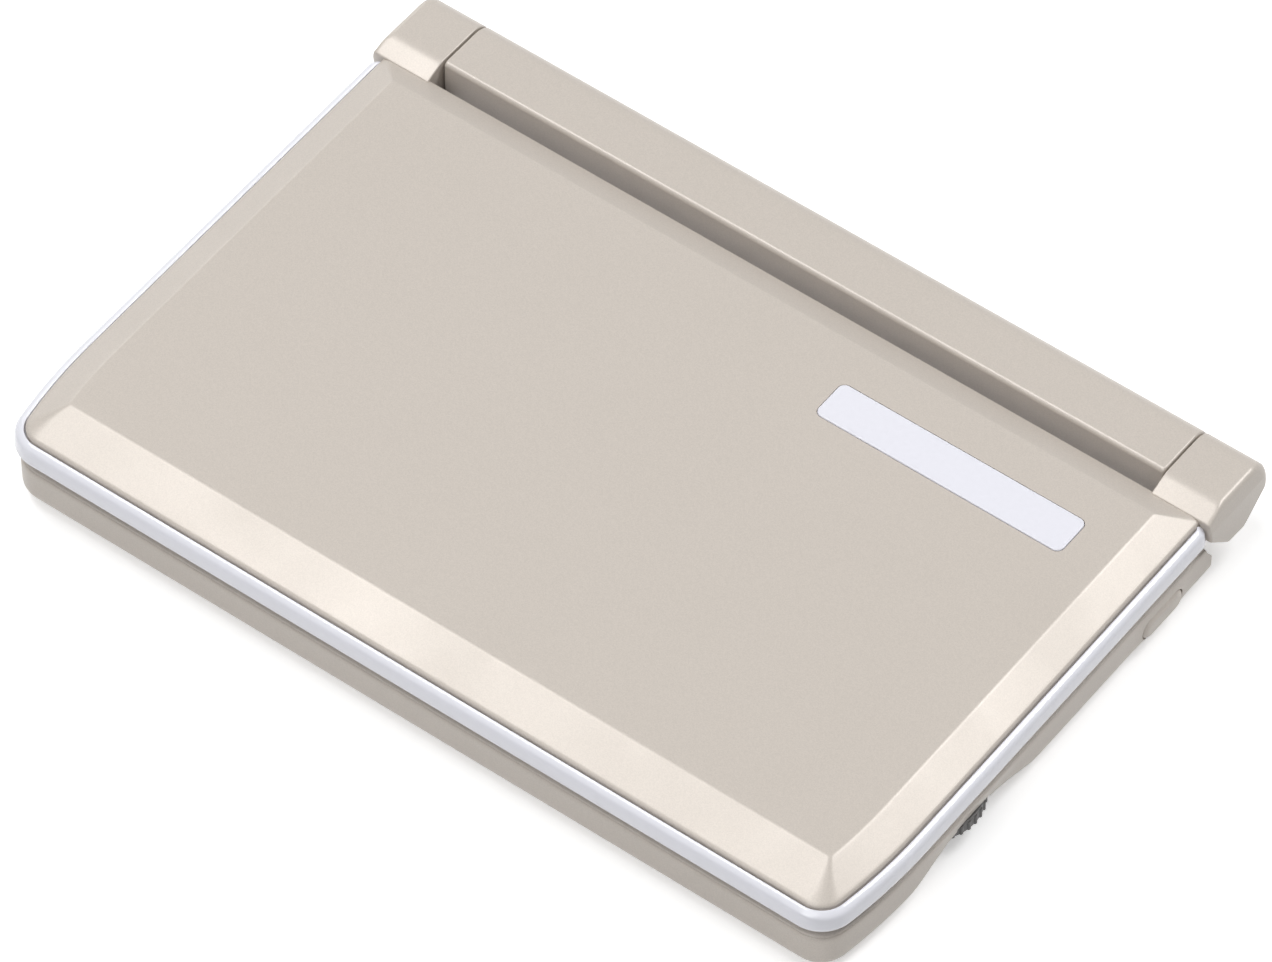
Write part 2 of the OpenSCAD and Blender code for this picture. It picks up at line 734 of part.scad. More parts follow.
// The room that the board and the sheet leave round the dial and the jack
module dial_and_jack_room() {
    translate([dial_x, dial_y, 0]) cylinder(h = rim_z, r = dial_r + dial_room, $fn = ROUND_FN);
    translate([-overall_w / 2, jack_y - jack_body_r - part_room, 0])
        cube([overall_w / 2 - base_half_w + jack_l + 1, 2 * (jack_body_r + part_room), rim_z]);
}

module main_board() color(BOARD_GREEN) difference() {
    board_edge = 1.4;
    silo_clear = 1.2;
    tab_x = pen_tip_x - 4;
    chip_t = 1.3;
    chips = [[-20, -20, 14, 14], [8, -22, 18, 12], [24, -4, 11, 11], [-8, 2, 9, 7]];
    union() {
        intersection() {
            slab(cavity_inset + board_edge, cavity_rear_y, board_z, board_z + board_t);
            union() {
                translate([-overall_w / 2, front_y, 0])
                    cube([overall_w, pen_y - cap_w / 2 - silo_clear - front_y, rim_z]);
                translate([-overall_w / 2, front_y, 0])
                    cube([overall_w / 2 + tab_x, cavity_rear_y - 2 - front_y, rim_z]);
            }
        }
        for (chip = chips)
            translate([chip[0], chip[1], board_z - chip_t]) cube([chip[2], chip[3], chip_t + SLICE]);
    }
    dial_and_jack_room();
    translate([speaker_x, speaker_y, 0]) cylinder(h = rim_z, r = speaker_r + speaker_room, $fn = ROUND_FN);
    screw_places() cylinder(h = rim_z, r = boss_r + part_room, $fn = ROUND_FN);
}

module dome_sheet() color(SILVER) {
    pad_domes = [for (turn = [0:90:270]) 5 * [cos(turn), sin(turn)]];
    sheet_half_w = 5 * key_pitch_x + 0.6;
    sheet_edge = key_pitch_y / 2;
    difference() {
        union() {
            translate([-sheet_half_w, row_y[2] - sheet_edge, sheet_z])
                cube([2 * sheet_half_w, 2 * (key_pitch_y + sheet_edge), sheet_t]);
            translate([pad_x, pad_y, sheet_z]) cylinder(h = sheet_t, r = pad_r, $fn = ROUND_FN);
            translate([power_x - key_w / 2, power_y - key_d / 2, sheet_z]) cube([key_w, key_d, sheet_t]);
        }
        dial_and_jack_room();
    }
    for (key = all_keys) translate([key[1], key[2], sheet_z + sheet_t])
        cylinder(h = dome_h, r1 = dome_r, r2 = dome_r / 2, $fn = ROUND_FN);
    for (dome = pad_domes) translate([pad_x + dome[0], pad_y + dome[1], sheet_z + sheet_t])
        cylinder(h = dome_h, r1 = dome_r, r2 = dome_r / 2, $fn = ROUND_FN);
}

module speaker() color(DARK) translate([speaker_x, speaker_y, deck_under_z - speaker_h]) {
    rim_t = 1;
    magnet_r = 0.75 * speaker_r;
    translate([0, 0, speaker_h - rim_t]) cylinder(h = rim_t, r = speaker_r, $fn = ROUND_FN);
    cylinder(h = speaker_h - rim_t, r = magnet_r, $fn = ROUND_FN);
}

module earphone_jack() color(DARK) difference() {
    union() {
        rod(-base_half_w, jack_l - base_half_w, jack_y, jack_z, jack_r);
        translate([cavity_inset - base_half_w, jack_y - jack_body_r, jack_z - jack_body_r])
            cube([jack_l - cavity_inset, 2 * jack_body_r, 2 * jack_body_r]);
    }
    rod(-overall_w / 2, jack_depth - base_half_w, jack_y, jack_z, jack_bore_r);
}

module card_socket() color(STEEL) difference() {
    translate([-base_half_w + case_wall + 0.1, card_y - card_w / 2 - card_wall, card_z])
        cube([card_deep, card_w + 2 * card_wall, card_h + 2 * card_wall]);
    translate([-overall_w / 2, card_y - card_w / 2, card_z + card_wall])
        cube([card_deep, card_w, card_h]);
}

module feet() color(RUBBER)
    for (x = [-foot_x, foot_x], y = [foot_front_y, foot_rear_y]) translate([x, y, 0])
        cylinder(h = foot_h, r = foot_r, $fn = ROUND_FN);

module case_screws() color(STEEL) screw_places() {
    translate([0, 0, screw_fit]) cylinder(h = screw_head_h - screw_fit, r = screw_head_r, $fn = ROUND_FN);
    cylinder(h = boss_h + post_gap, r = screw_shank_r, $fn = ROUND_FN);
    cylinder(h = screw_l, r = pilot_r, $fn = ROUND_FN);
}

module volume_pot() color(STEEL) translate([dial_x, dial_y, 0]) {
    pot_clear = 0.1;
    pot_w = 2 * (base_half_w - scoop_back_w - dial_x - pot_clear);
    pot_t = dial_z - dial_clear - floor_z;
    post_h = dial_z + dial_t + 0.4 - floor_z;
    translate([-pot_w / 2, -pot_w / 2, floor_z]) cube([pot_w, pot_w, pot_t]);
    translate([0, 0, floor_z]) cylinder(h = post_h, r = dial_bore_r - dial_bore_fit, $fn = ROUND_FN);
}

module touch_window() color(DARK) translate([0, touch_y, 0])
    rounded_box(touch_w - 2 * touch_gap, touch_d - 2 * touch_gap, 1.4, deck_z - touch_t, deck_z);

module sub_lcd() color(STEEL) translate([0, touch_y, 0])
    rounded_box(touch_w - touch_border, touch_d - touch_border, 1, deck_under_z - sub_lcd_t, deck_under_z);

// Moving pieces

module volume_dial() color(DARK) translate([dial_x, dial_y, dial_z]) difference() {
    cylinder(h = dial_t, r = dial_r, $fn = 2 * ROUND_FN);
    translate([0, 0, -PAST]) cylinder(h = dial_t + 2 * PAST, r = dial_bore_r, $fn = ROUND_FN);
    for (k = [0:knurl_count - 1]) rotate([0, 0, 360 * k / knurl_count])
        translate([dial_r + 0.1, 0, -PAST]) cylinder(h = dial_t + 2 * PAST, r = knurl_r, $fn = 16);
}

module stylus() color(CHAMPAGNE) {
    tip_l = 7;
    tip_r = 0.6;
    cap_round = 0.6;
    pill(pen_tip_x + tip_l, cap_in_x, pen_w, pen_h);
    hull() {
        pill(pen_tip_x + tip_l, pen_tip_x + tip_l + SLICE, pen_w, pen_h, HULL_FN);
        pill(pen_tip_x, pen_tip_x + SLICE, 3 * tip_r, 2 * tip_r, HULL_FN / 2);
    }
    pill(cap_in_x, base_half_w, cap_w, cap_h);
    hull() {
        pill(base_half_w - SLICE, base_half_w + cap_proud - cap_round, cap_w, cap_h, HULL_FN);
        pill(base_half_w, base_half_w + cap_proud, cap_w - 2 * cap_round, cap_h - 2 * cap_round, HULL_FN);
    }
}

module battery_cover() color(CHAMPAGNE)
    along_x(-hatch_half_w, hatch_half_w) hatch_profile(0);

// A key: a cap with a shallow dish that fills its opening, on a plunger over its dome
module key_cap(key) translate([key[1], key[2], 0]) {
    difference() {
        translate([0, 0, key_low_z]) linear_extrude(key_top_z - key_low_z) key_shape(key[3], key[4], 0);
        translate([0, 0, key_top_z - dish_deep + dish_r]) rotate([90, 0, 0])
            cylinder(h = 2 * key[4], r = dish_r, center = true, $fn = 2 * ROUND_FN);
    }
    translate([0, 0, plunger_z]) cylinder(h = key_low_z - plunger_z, r = plunger_r, $fn = ROUND_FN);
}

module cursor_pad() color(SILVER) translate([pad_x, pad_y, 0]) {
    difference() {
        translate([0, 0, key_low_z]) cylinder(h = key_top_z - key_low_z, r = pad_r, $fn = ROUND_FN);
        translate([0, 0, key_top_z - pad_dish]) cylinder(h = PAST, r = pad_button_r, $fn = ROUND_FN);
    }
    translate([0, 0, plunger_z]) cylinder(h = key_low_z - plunger_z, r = pad_r - pad_skirt, $fn = ROUND_FN);
}

lid_cover();
lid_frame();
hinge_ear_left();
hinge_ear_right();
nameplate();
display_bezel();
display_window();
lcd_panel();
lid_bumpers();
lid_screws();
hinge_shafts();
base_bottom();
base_top();
hinge_bar();
hinge_barrels();
batteries();
battery_contacts();
main_board();
dome_sheet();
speaker();
earphone_jack();
card_socket();
feet();
case_screws();
volume_pot();
touch_window();
sub_lcd();
volume_dial();
stylus();
battery_cover();
for (key = all_keys) color(SILVER) key_cap(key);
cursor_pad();
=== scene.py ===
import math

import bmesh
import bpy
from mathutils import Matrix, Vector


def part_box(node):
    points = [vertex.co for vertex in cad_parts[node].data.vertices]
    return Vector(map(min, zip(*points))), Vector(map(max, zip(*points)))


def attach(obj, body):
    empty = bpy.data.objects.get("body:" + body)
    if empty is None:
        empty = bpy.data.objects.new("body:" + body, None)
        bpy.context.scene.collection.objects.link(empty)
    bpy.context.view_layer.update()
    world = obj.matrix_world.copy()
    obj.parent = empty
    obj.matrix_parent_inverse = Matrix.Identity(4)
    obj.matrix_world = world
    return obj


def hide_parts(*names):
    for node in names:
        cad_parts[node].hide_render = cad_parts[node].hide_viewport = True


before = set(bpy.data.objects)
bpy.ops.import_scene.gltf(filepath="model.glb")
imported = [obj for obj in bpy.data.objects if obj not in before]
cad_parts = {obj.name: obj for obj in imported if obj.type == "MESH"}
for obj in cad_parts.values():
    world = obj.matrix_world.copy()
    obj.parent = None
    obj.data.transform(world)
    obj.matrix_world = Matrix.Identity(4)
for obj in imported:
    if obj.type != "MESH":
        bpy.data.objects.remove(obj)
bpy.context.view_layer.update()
mm = 0.001


# Corners of a CAD node in millimetres
def span(node):
    low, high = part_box(node)
    return low / mm, high / mm


# Corners, middle and size of a CAD node
def boxOf(node):
    low, high = span(node)
    return low, high, [(a + b) / 2 for a, b in zip(low, high)], [b - a for a, b in zip(low, high)]


# Places taken from the frame, in millimetres
trimLow, trimHigh = span("lid_frame")
coverLow, coverHigh = span("lid_cover")
baseLow, baseHigh = span("base_bottom")
barLow, barHigh = span("hinge_bar")
earLow, earHigh = span("hinge_ear_right")
lipTop = span("base_top")[1].z
halfWidth = trimHigh.x
frontY = trimLow.y
coverRear = coverHigh.y
panelTop = coverHigh.z
rearY = barHigh.y
parting = baseHigh.z

# The hinge's axis and the radius that the ears sweep round it
hingeBehind, hingeZ, sweepRadius = 7.6, 10.0, 8.1
hingeY = coverRear + hingeBehind

print("frame loaded")

# Meshes


def placed(name, data):
    obj = bpy.data.objects.new(name, data)
    bpy.context.scene.collection.objects.link(obj)
    return obj


# In metres
weldDistance = 1e-7


def meshFrom(name, verts, faces, solid=True):
    mesh = bpy.data.meshes.new(name)
    mesh.from_pydata([tuple(c * mm for c in v) for v in verts], [], faces)
    if solid:
        work = bmesh.new()
        work.from_mesh(mesh)
        bmesh.ops.remove_doubles(work, verts=work.verts, dist=weldDistance)
        bmesh.ops.recalc_face_normals(work, faces=work.faces)
        work.to_mesh(mesh)
        work.free()
    return placed(name, mesh)


def loft(name, rings, closed=False):
    count = len(rings[0])
    verts = [p for ring in rings for p in ring]
    last = len(rings) - 1
    pairs = [(k, k + 1) for k in range(last)]
    if closed:
        pairs.append((last, 0))
    faces = []
    for a, b in pairs:
        for k in range(count):
            n = (k + 1) % count
            faces.append((a * count + k, a * count + n, b * count + n, b * count + k))
    if not closed:
        faces.append(tuple(range(count)))
        faces.append(tuple(last * count + k for k in range(count)))
    return meshFrom(name, verts, faces)


# profile is (radius, height) along the axis, Z or X
def lathe(name, profile, centre, axis="Z", steps=64):
    verts, faces = [], []
    for r, h in profile:
        for k in range(steps):
            a = 2 * math.pi * k / steps
            u, v = r * math.cos(a), r * math.sin(a)
            p = (h, u, v) if axis == "X" else (u, v, h)
            verts.append(tuple(p[i] + centre[i] for i in range(3)))
    for a in range(len(profile) - 1):
        for k in range(steps):
            n = (k + 1) % steps
            faces.append((a * steps + k, a * steps + n, (a + 1) * steps + n, (a + 1) * steps + k))
    faces.append(tuple(range(steps)))
    faces.append(tuple((len(profile) - 1) * steps + k for k in range(steps)))
    return meshFrom(name, verts, faces)


# profile: (y, z) corners of the section
def prismAlongX(name, profile, x0, x1):
    return loft(name, [[(x, y, z) for y, z in profile] for x in (x0, x1)])


# Cosine and sine of each step over a quarter turn
def quarter(steps, first=1):
    turns = [math.radians(90 * k / steps) for k in range(first, steps + 1)]
    return [(math.cos(a), math.sin(a)) for a in turns]


# Corners of a convex outline with each side moved in by its own distance
def movedIn(corners, distances):
    count = len(corners)
    area = sum(a[0] * b[1] - b[0] * a[1] for a, b in zip(corners, corners[1:] + corners[:1]))
    turn = 1 if area > 0 else -1
    sides = []
    for k in range(count):
        (y, z), (nextY, nextZ) = corners[k], corners[(k + 1) % count]
        size = math.hypot(nextY - y, nextZ - z)
        dy, dz = (nextY - y) / size, (nextZ - z) / size
        sides.append((y - dz * turn * distances[k], z + dy * turn * distances[k], dy, dz))
    made = []
    for (ay, az, ady, adz), (by, bz, bdy, bdz) in zip(sides[-1:] + sides[:-1], sides):
        along = ((by - ay) * bdz - (bz - az) * bdy) / (ady * bdz - adz * bdy)
        made.append((ay + ady * along, az + adz * along))
    return made


# The most of a side that the rounding of a corner takes
sideShare = 0.8


# An outline with every corner rounded; each corner gives the same count of points
def roundedOutline(corners, radii, steps=6):
    made = []
    for k, (y, z) in enumerate(corners):
        (py, pz), (ny, nz) = corners[k - 1], corners[(k + 1) % len(corners)]
        before, after = math.hypot(y - py, z - pz), math.hypot(ny - y, nz - z)
        ay, az, by, bz = (y - py) / before, (z - pz) / before, (ny - y) / after, (nz - z) / after
        turn = math.atan2(ay * bz - az * by, ay * by + az * bz)
        reach = min(radii[k] * math.tan(abs(turn) / 2), sideShare * min(before, after))
        side = 1 if turn > 0 else -1
        r = reach / math.tan(abs(turn) / 2)
        inY, inZ = -az * side * r, ay * side * r
        cy, cz = y - ay * reach + inY, z - az * reach + inZ
        for j in range(steps + 1):
            c, n = math.cos(turn * j / steps), math.sin(turn * j / steps)
            made.append((cy - inY * c + inZ * n, cz - inY * n - inZ * c))
    return made


def roundedRing(w, d, r, z, centre=(0, 0), steps=6, along=4):
    points = []
    for cx, cy, start in ((1, 1, 0), (-1, 1, 90), (-1, -1, 180), (1, -1, 270)):
        for k in range(steps + 1):
            a = math.radians(start + 90 * k / steps)
            points.append((cx * (w / 2 - r) + r * math.cos(a), cy * (d / 2 - r) + r * math.sin(a)))
        a = math.radians(start + 90)
        nx, ny = {0: (-1, 1), 90: (-1, -1), 180: (1, -1), 270: (1, 1)}[start]
        x0, y0 = points[-1]
        x1, y1 = nx * (w / 2 - r) + r * math.cos(a), ny * (d / 2 - r) + r * math.sin(a)
        for k in range(1, along):
            points.append((x0 + (x1 - x0) * k / along, y0 + (y1 - y0) * k / along))
    return [(centre[0] + x, centre[1] + y, z) for x, y in points]


# Levels of one rounded rectangle, each as how far it grows and its height
def plate(name, w, d, r, levels, centre=(0, 0), steps=6, along=4):
    return loft(name, [roundedRing(w + 2 * grow, d + 2 * grow, r + grow, z, centre, steps, along)
                       for grow, z in levels])


# A rounded rectangle across X, with w along Y and h along Z
def acrossX(x, w, h, r, y, z, steps, along):
    return [(x, y + a, z + b) for a, b, _ in roundedRing(w, h, r, 0, (0, 0), steps, along)]


# Turns the evaluated object into a plain mesh and drops its modifiers
def bake(obj):
    bpy.context.view_layer.update()
    graph = bpy.context.evaluated_depsgraph_get()
    mesh = bpy.data.meshes.new_from_object(obj.evaluated_get(graph), depsgraph=graph)
    obj.modifiers.clear()
    old = obj.data
    obj.data = mesh
    mesh.name = obj.name
    if old.users == 0:
        bpy.data.meshes.remove(old)
    return obj


def cut(obj, cutter, how="DIFFERENCE"):
    mod = obj.modifiers.new("cut", "BOOLEAN")
    mod.operation = how
    mod.solver = "EXACT"
    mod.object = cutter
    bake(obj)
    bpy.data.objects.remove(cutter)
    return obj


def joined(name, objects):
    work = bmesh.new()
    for o in objects:
        work.from_mesh(o.data)
        bpy.data.objects.remove(o)
    mesh = bpy.data.meshes.new(name)
    work.to_mesh(mesh)
    work.free()
    return placed(name, mesh)


def smoothed(obj, angle, weighted=True):
    obj.data.polygons.foreach_set("use_smooth", [True] * len(obj.data.polygons))
    obj.data.set_sharp_from_angle(angle=math.radians(angle))
    if weighted:
        mod = obj.modifiers.new("normals", "WEIGHTED_NORMAL")
        mod.keep_sharp = True
        mod.weight = 80
        bake(obj)
    return obj


# pick gives a face's material by its centre
def finishPiece(obj, body, materials, replaces=(), angle=32, pick=None):
    if materials:
        obj.data.materials.clear()
        for m in materials:
            obj.data.materials.append(m)
    if pick:
        for face in obj.data.polygons:
            face.material_index = pick(face.center / mm)
    smoothed(obj, angle)
    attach(obj, body)
    if replaces:
        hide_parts(*replaces)
    return obj


# Outline of the shells: straight sides that curve in, round front corners, straight front
outline = {"sideRadius": 95.0, "sideLength": 20.5, "cornerRadius": 5.6, "leastRound": 0.3}
ringSteps = {"rearCorner": 5, "side": 64, "curve": 18, "corner": 14, "front": 44, "rear": 60}


def arcPoints(cx, cy, r, start, end, steps):
    return [(cx + r * math.cos(math.radians(start + (end - start) * k / steps)),
             cy + r * math.sin(math.radians(start + (end - start) * k / steps))) for k in range(steps + 1)]


# One level of a shell: inset from the trim's sides and front, up to the rear edge
def shellRing(inset, z, rear, frontInset=None, corner=None, rearRound=outline["leastRound"]):
    frontInset = inset if frontInset is None else frontInset
    corner = max(outline["cornerRadius"] - inset, outline["leastRound"]) if corner is None else corner
    sideCx = halfWidth - outline["sideRadius"]
    sideCy = frontY + outline["sideLength"]
    r = outline["sideRadius"] - inset
    cy = frontY + frontInset + corner
    cx = sideCx + math.sqrt((r - corner) ** 2 - (sideCy - cy) ** 2)
    turn = math.degrees(math.asin((sideCy - cy) / (r - corner)))
    x = halfWidth - inset
    half = arcPoints(x - rearRound, rear - rearRound, rearRound, 90, 0, ringSteps["rearCorner"])
    for k in range(1, ringSteps["side"]):
        half.append((x, rear - rearRound + (sideCy - rear + rearRound) * k / ringSteps["side"]))
    half += arcPoints(sideCx, sideCy, r, 0, -turn, ringSteps["curve"])
    half += arcPoints(cx, cy, corner, -turn, -90, ringSteps["corner"])[1:]
    n = ringSteps["front"]
    half += [(cx * (1 - k / n), frontY + frontInset) for k in range(1, n + 1)]
    other = [(-px, py) for px, py in reversed(half[:-1])]
    ring = half + other
    m = ringSteps["rear"]
    ring += [(-(x - rearRound) + 2 * (x - rearRound) * k / m, rear) for k in range(1, m)]
    return [(px, py, z) for px, py in ring]


# Rings on a smooth bend from a to b that leans on control
def bentRings(a, control, b, steps, ends=(True, True)):
    made = []
    for k in range(0 if ends[0] else 1, steps + 1 if ends[1] else steps):
        u = k / steps
        made.append([tuple((1 - u) ** 2 * p[i] + 2 * u * (1 - u) * c[i] + u * u * q[i] for i in range(3))
                     for p, c, q in zip(a, control, b)])
    return made


print("mesh tools ready")

# Node tools and shader groups

socketKinds = {int: "Int", float: "Float", tuple: "Vector"}


# A group whose inputs are given by their starting value, or by their kind where they have none
def nodeGroup(kind, name, inputs, outputs):
    tree = bpy.data.node_groups.new(name, kind)
    ids = {}
    for label, value in inputs.items():
        socket = tree.interface.new_socket(
            label, in_out="INPUT", socket_type="NodeSocket" + socketKinds.get(type(value), str(value)))
        if type(value) in socketKinds:
            socket.default_value = value
        ids[label] = socket.identifier
    for label, value in outputs.items():
        tree.interface.new_socket(label, in_out="OUTPUT", socket_type="NodeSocket" + value)
    return tree, tree.nodes.new("NodeGroupInput").outputs, tree.nodes.new("NodeGroupOutput"), ids


# Sets a node's inputs: a socket is linked, anything else is the value
def feed(tree, target, values):
    for key, value in values.items():
        if isinstance(value, bpy.types.NodeSocket):
            tree.links.new(value, target.inputs[key])
        else:
            target.inputs[key].default_value = value


def node(tree, kind, values=None, **settings):
    made = tree.nodes.new(kind)
    for key, value in settings.items():
        setattr(made, key, value)
    feed(tree, made, values or {})
    return made


def math2(tree, operation, a, b):
    return node(tree, "ShaderNodeMath", {0: a, 1: b}, operation=operation).outputs[0]


def ownPlace(tree):
    return node(tree, "ShaderNodeTexCoord").outputs["Object"]


# Spreads a mask between two values
def spread(tree, mask, low, high):
    values = {"Value": mask, "To Min": low, "To Max": high}
    return node(tree, "ShaderNodeMapRange", values, clamp=True).outputs[0]


# Metallic flakes: a fine scatter of lighter and darker cells, and a faint bump from the same cells
def buildFlakes():
    tree, start, end, _ = nodeGroup(
        "ShaderNodeTree", "paintFlakes", {"Size": 0.00012, "Amount": 0.05, "Peel Size": 0.0009, "Peel Height": 0.02},
        {"Shade": "Float", "Normal": "Vector"})
    place = ownPlace(tree)
    cells = node(tree, "ShaderNodeTexVoronoi", {
        "Vector": place, "Scale": math2(tree, "DIVIDE", 1.0, start["Size"]), "Randomness": 1.0}, feature="F1")
    grey = node(tree, "ShaderNodeSeparateColor", {0: cells.outputs["Color"]}).outputs
    away = math2(tree, "MULTIPLY", math2(tree, "SUBTRACT", grey[0], 0.5), start["Amount"])
    peel = node(tree, "ShaderNodeTexNoise", {
        "Vector": place, "Scale": math2(tree, "DIVIDE", 1.0, start["Peel Size"]), "Detail": 2.0, "Roughness": 0.5})
    height = math2(tree, "ADD", peel.outputs[0], math2(tree, "MULTIPLY", grey[1], 0.25))
    bump = node(tree, "ShaderNodeBump", {"Distance": 0.00002, "Height": height, "Strength": start["Peel Height"]})
    feed(tree, end, {"Shade": math2(tree, "ADD", away, 1.0), "Normal": bump.outputs[0]})
    return tree


# Slow, faint changes from handling: a mask for roughness and one for colour
def buildHandling():
    tree, start, end, _ = nodeGroup("ShaderNodeTree", "handling", {"Size": 0.03, "Low": 0.3, "High": 0.4},
                                    {"Roughness": "Float", "Mask": "Float"})
    clouds = node(tree, "ShaderNodeTexNoise", {
        "Vector": ownPlace(tree), "Scale": math2(tree, "DIVIDE", 1.0, start["Size"]), "Detail": 5.0,
        "Roughness": 0.62, "Distortion": 0.4}).outputs[0]
    rough = node(tree, "ShaderNodeMapRange", {"Value": clouds, "From Min": 0.35, "From Max": 0.65,
                                              "To Min": start["Low"], "To Max": start["High"]}, clamp=True)
    mask = node(tree, "ShaderNodeMapRange", {"Value": clouds, "From Min": 0.3, "From Max": 0.7}, clamp=True)
    feed(tree, end, {"Roughness": rough.outputs[0], "Mask": mask.outputs[0]})
    return tree


# Fine moulded grain of plastic and rubber, as a normal and a mask
def buildMouldGrain():
    tree, start, end, _ = nodeGroup("ShaderNodeTree", "mouldGrain", {"Size": 0.00035, "Height": 0.1},
                                    {"Mask": "Float", "Normal": "Vector"})
    grain = node(tree, "ShaderNodeTexNoise", {
        "Vector": ownPlace(tree), "Scale": math2(tree, "DIVIDE", 1.0, start["Size"]), "Detail": 3.0,
        "Roughness": 0.6}).outputs[0]
    bump = node(tree, "ShaderNodeBump", {"Distance": 0.00005, "Height": grain, "Strength": start["Height"]})
    feed(tree, end, {"Mask": grain, "Normal": bump.outputs[0]})
    return tree


flakes = buildFlakes()
handling = buildHandling()
mouldGrain = buildMouldGrain()

# Materials


# The cleared node tree of a material or a world
def clearTree(block):
    block.use_nodes = True
    block.node_tree.nodes.clear()
    return block.node_tree


def newMaterial(name, settings):
    made = bpy.data.materials.new(name)
    tree = clearTree(made)
    shader = node(tree, "ShaderNodeBsdfPrincipled", settings)
    node(tree, "ShaderNodeOutputMaterial", {"Surface": shader.outputs[0]})
    return made, tree, shader


def placeGroup(tree, group, values):
    return node(tree, "ShaderNodeGroup", values, node_tree=group).outputs


# Handling on the shader's roughness; gives the mask for its colour
def touched(tree, shader, size, roughness):
    touch = placeGroup(tree, handling, {"Size": size, "Low": roughness[0], "High": roughness[1]})
    feed(tree, shader, {"Roughness": touch["Roughness"]})
    return touch["Mask"]


# Base colour times a factor; with low and mask it also drifts towards a second tone
def shadedColour(tree, shader, colour, factor, low=None, mask=0.0):
    tones = node(tree, "ShaderNodeMix", {0: mask, 6: (*colour, 1), 7: (*(low or colour), 1)}, data_type="RGBA")
    scale = node(tree, "ShaderNodeVectorMath", {0: tones.outputs[2], "Scale": factor}, operation="SCALE")
    feed(tree, shader, {"Base Color": scale.outputs[0]})


def buildPaint(name, look):
    made, tree, shader = newMaterial(name, {"Metallic": look["metallic"], "IOR": 1.5})
    grain = placeGroup(tree, flakes, {"Size": look["flakeSize"], "Amount": look["flakeAmount"],
                                      "Peel Size": 0.0009, "Peel Height": look["peelHeight"]})
    mask = touched(tree, shader, 0.035, look["roughness"])
    shadedColour(tree, shader, look["colour"], grain["Shade"], look["drift"], mask)
    feed(tree, shader, {"Normal": grain["Normal"]})
    return made


def buildPlastic(name, colour, roughness, grainSize=0.00035, grainHeight=0.1, coat=0.0, spec=0.5):
    made, tree, shader = newMaterial(name, {"Metallic": 0.0, "IOR": 1.5, "Coat Weight": coat,
                                            "Coat Roughness": 0.06, "Specular IOR Level": spec})
    grain = placeGroup(tree, mouldGrain, {"Size": grainSize, "Height": grainHeight})
    mask = touched(tree, shader, 0.02, roughness)
    shadedColour(tree, shader, colour, spread(tree, grain["Mask"], 0.97, 1.03), mask=mask)
    feed(tree, shader, {"Normal": grain["Normal"]})
    return made


# Bare metal; brushed stretches the grain along an axis
def buildMetal(name, colour, roughness, brushed=(1, 1, 1)):
    made, tree, shader = newMaterial(name, {"Metallic": 1.0})
    touched(tree, shader, 0.01, roughness)
    mapping = node(tree, "ShaderNodeMapping", {"Vector": ownPlace(tree), "Scale": brushed})
    lines = node(tree, "ShaderNodeTexNoise", {"Vector": mapping.outputs[0], "Scale": 4000.0, "Detail": 2.0}).outputs[0]
    shadedColour(tree, shader, colour, spread(tree, lines, 0.9, 1.06))
    bump = node(tree, "ShaderNodeBump", {"Strength": 0.15, "Distance": 0.00002, "Height": lines})
    feed(tree, shader, {"Normal": bump.outputs[0]})
    return made


champagnePaint = {"colour": (0.61, 0.555, 0.50), "drift": (0.585, 0.532, 0.478), "metallic": 0.11,
                  "roughness": (0.32, 0.38), "flakeSize": 0.00013, "flakeAmount": 0.10, "peelHeight": 0.18}
satinSilver = {"colour": (0.58, 0.58, 0.59), "drift": (0.55, 0.55, 0.565), "metallic": 0.55,
               "roughness": (0.36, 0.44), "flakeSize": 0.0001, "flakeAmount": 0.12, "peelHeight": 0.12}
keyFinish = {"colour": (0.68, 0.68, 0.69), "drift": (0.65, 0.65, 0.665), "metallic": 0.3,
             "roughness": (0.38, 0.46), "flakeSize": 0.0001, "flakeAmount": 0.08, "peelHeight": 0.1}

paint = buildPaint("champagnePaint", champagnePaint)
white = buildPlastic("glossWhite", (0.86, 0.865, 0.93), (0.14, 0.2), 0.0012, 0.03, coat=0.5)
badgeWhite = buildPlastic("badgeWhite", (0.86, 0.86, 0.93), (0.3, 0.36), 0.0009, 0.04)
silver = buildPaint("satinSilver", satinSilver)
keyPaint = buildPaint("keyFinish", keyFinish)
legendInk = buildPlastic("legendInk", (0.035, 0.037, 0.045), (0.45, 0.55))
darkPlastic = buildPlastic("darkPlastic", (0.055, 0.055, 0.06), (0.42, 0.55), 0.00025, 0.35)
dialPlastic = buildPlastic("dialPlastic", (0.12, 0.117, 0.115), (0.4, 0.5), 0.0002, 0.3)
rubber = buildPlastic("blackRubber", (0.028, 0.028, 0.03), (0.62, 0.75), 0.0002, 0.5, spec=0.3)
steel = buildMetal("steel", (0.56, 0.57, 0.59), (0.24, 0.34), (0.05, 1, 1))
gold = buildMetal("contactPlate", (0.72, 0.7, 0.66), (0.2, 0.3))
domeFilm = buildPlastic("domeFilm", (0.42, 0.44, 0.42), (0.3, 0.45), 0.0006, 0.1)


# Brick cells on the piece's own coordinates as the shader's colour
def tiled(tree, shader, values, **settings):
    cells = node(tree, "ShaderNodeTexBrick", {"Vector": ownPlace(tree), **values}, **settings)
    feed(tree, shader, {"Base Color": cells.outputs[0]})


def buildBoard():
    made, tree, shader = newMaterial("circuitBoard", {"Metallic": 0.0, "Coat Weight": 0.3})
    tiled(tree, shader, {"Scale": 260.0, "Mortar Size": 0.06, "Color1": (0.018, 0.11, 0.055, 1),
                         "Color2": (0.022, 0.13, 0.065, 1), "Mortar": (0.04, 0.19, 0.09, 1)})
    touched(tree, shader, 0.01, (0.3, 0.42))
    return made


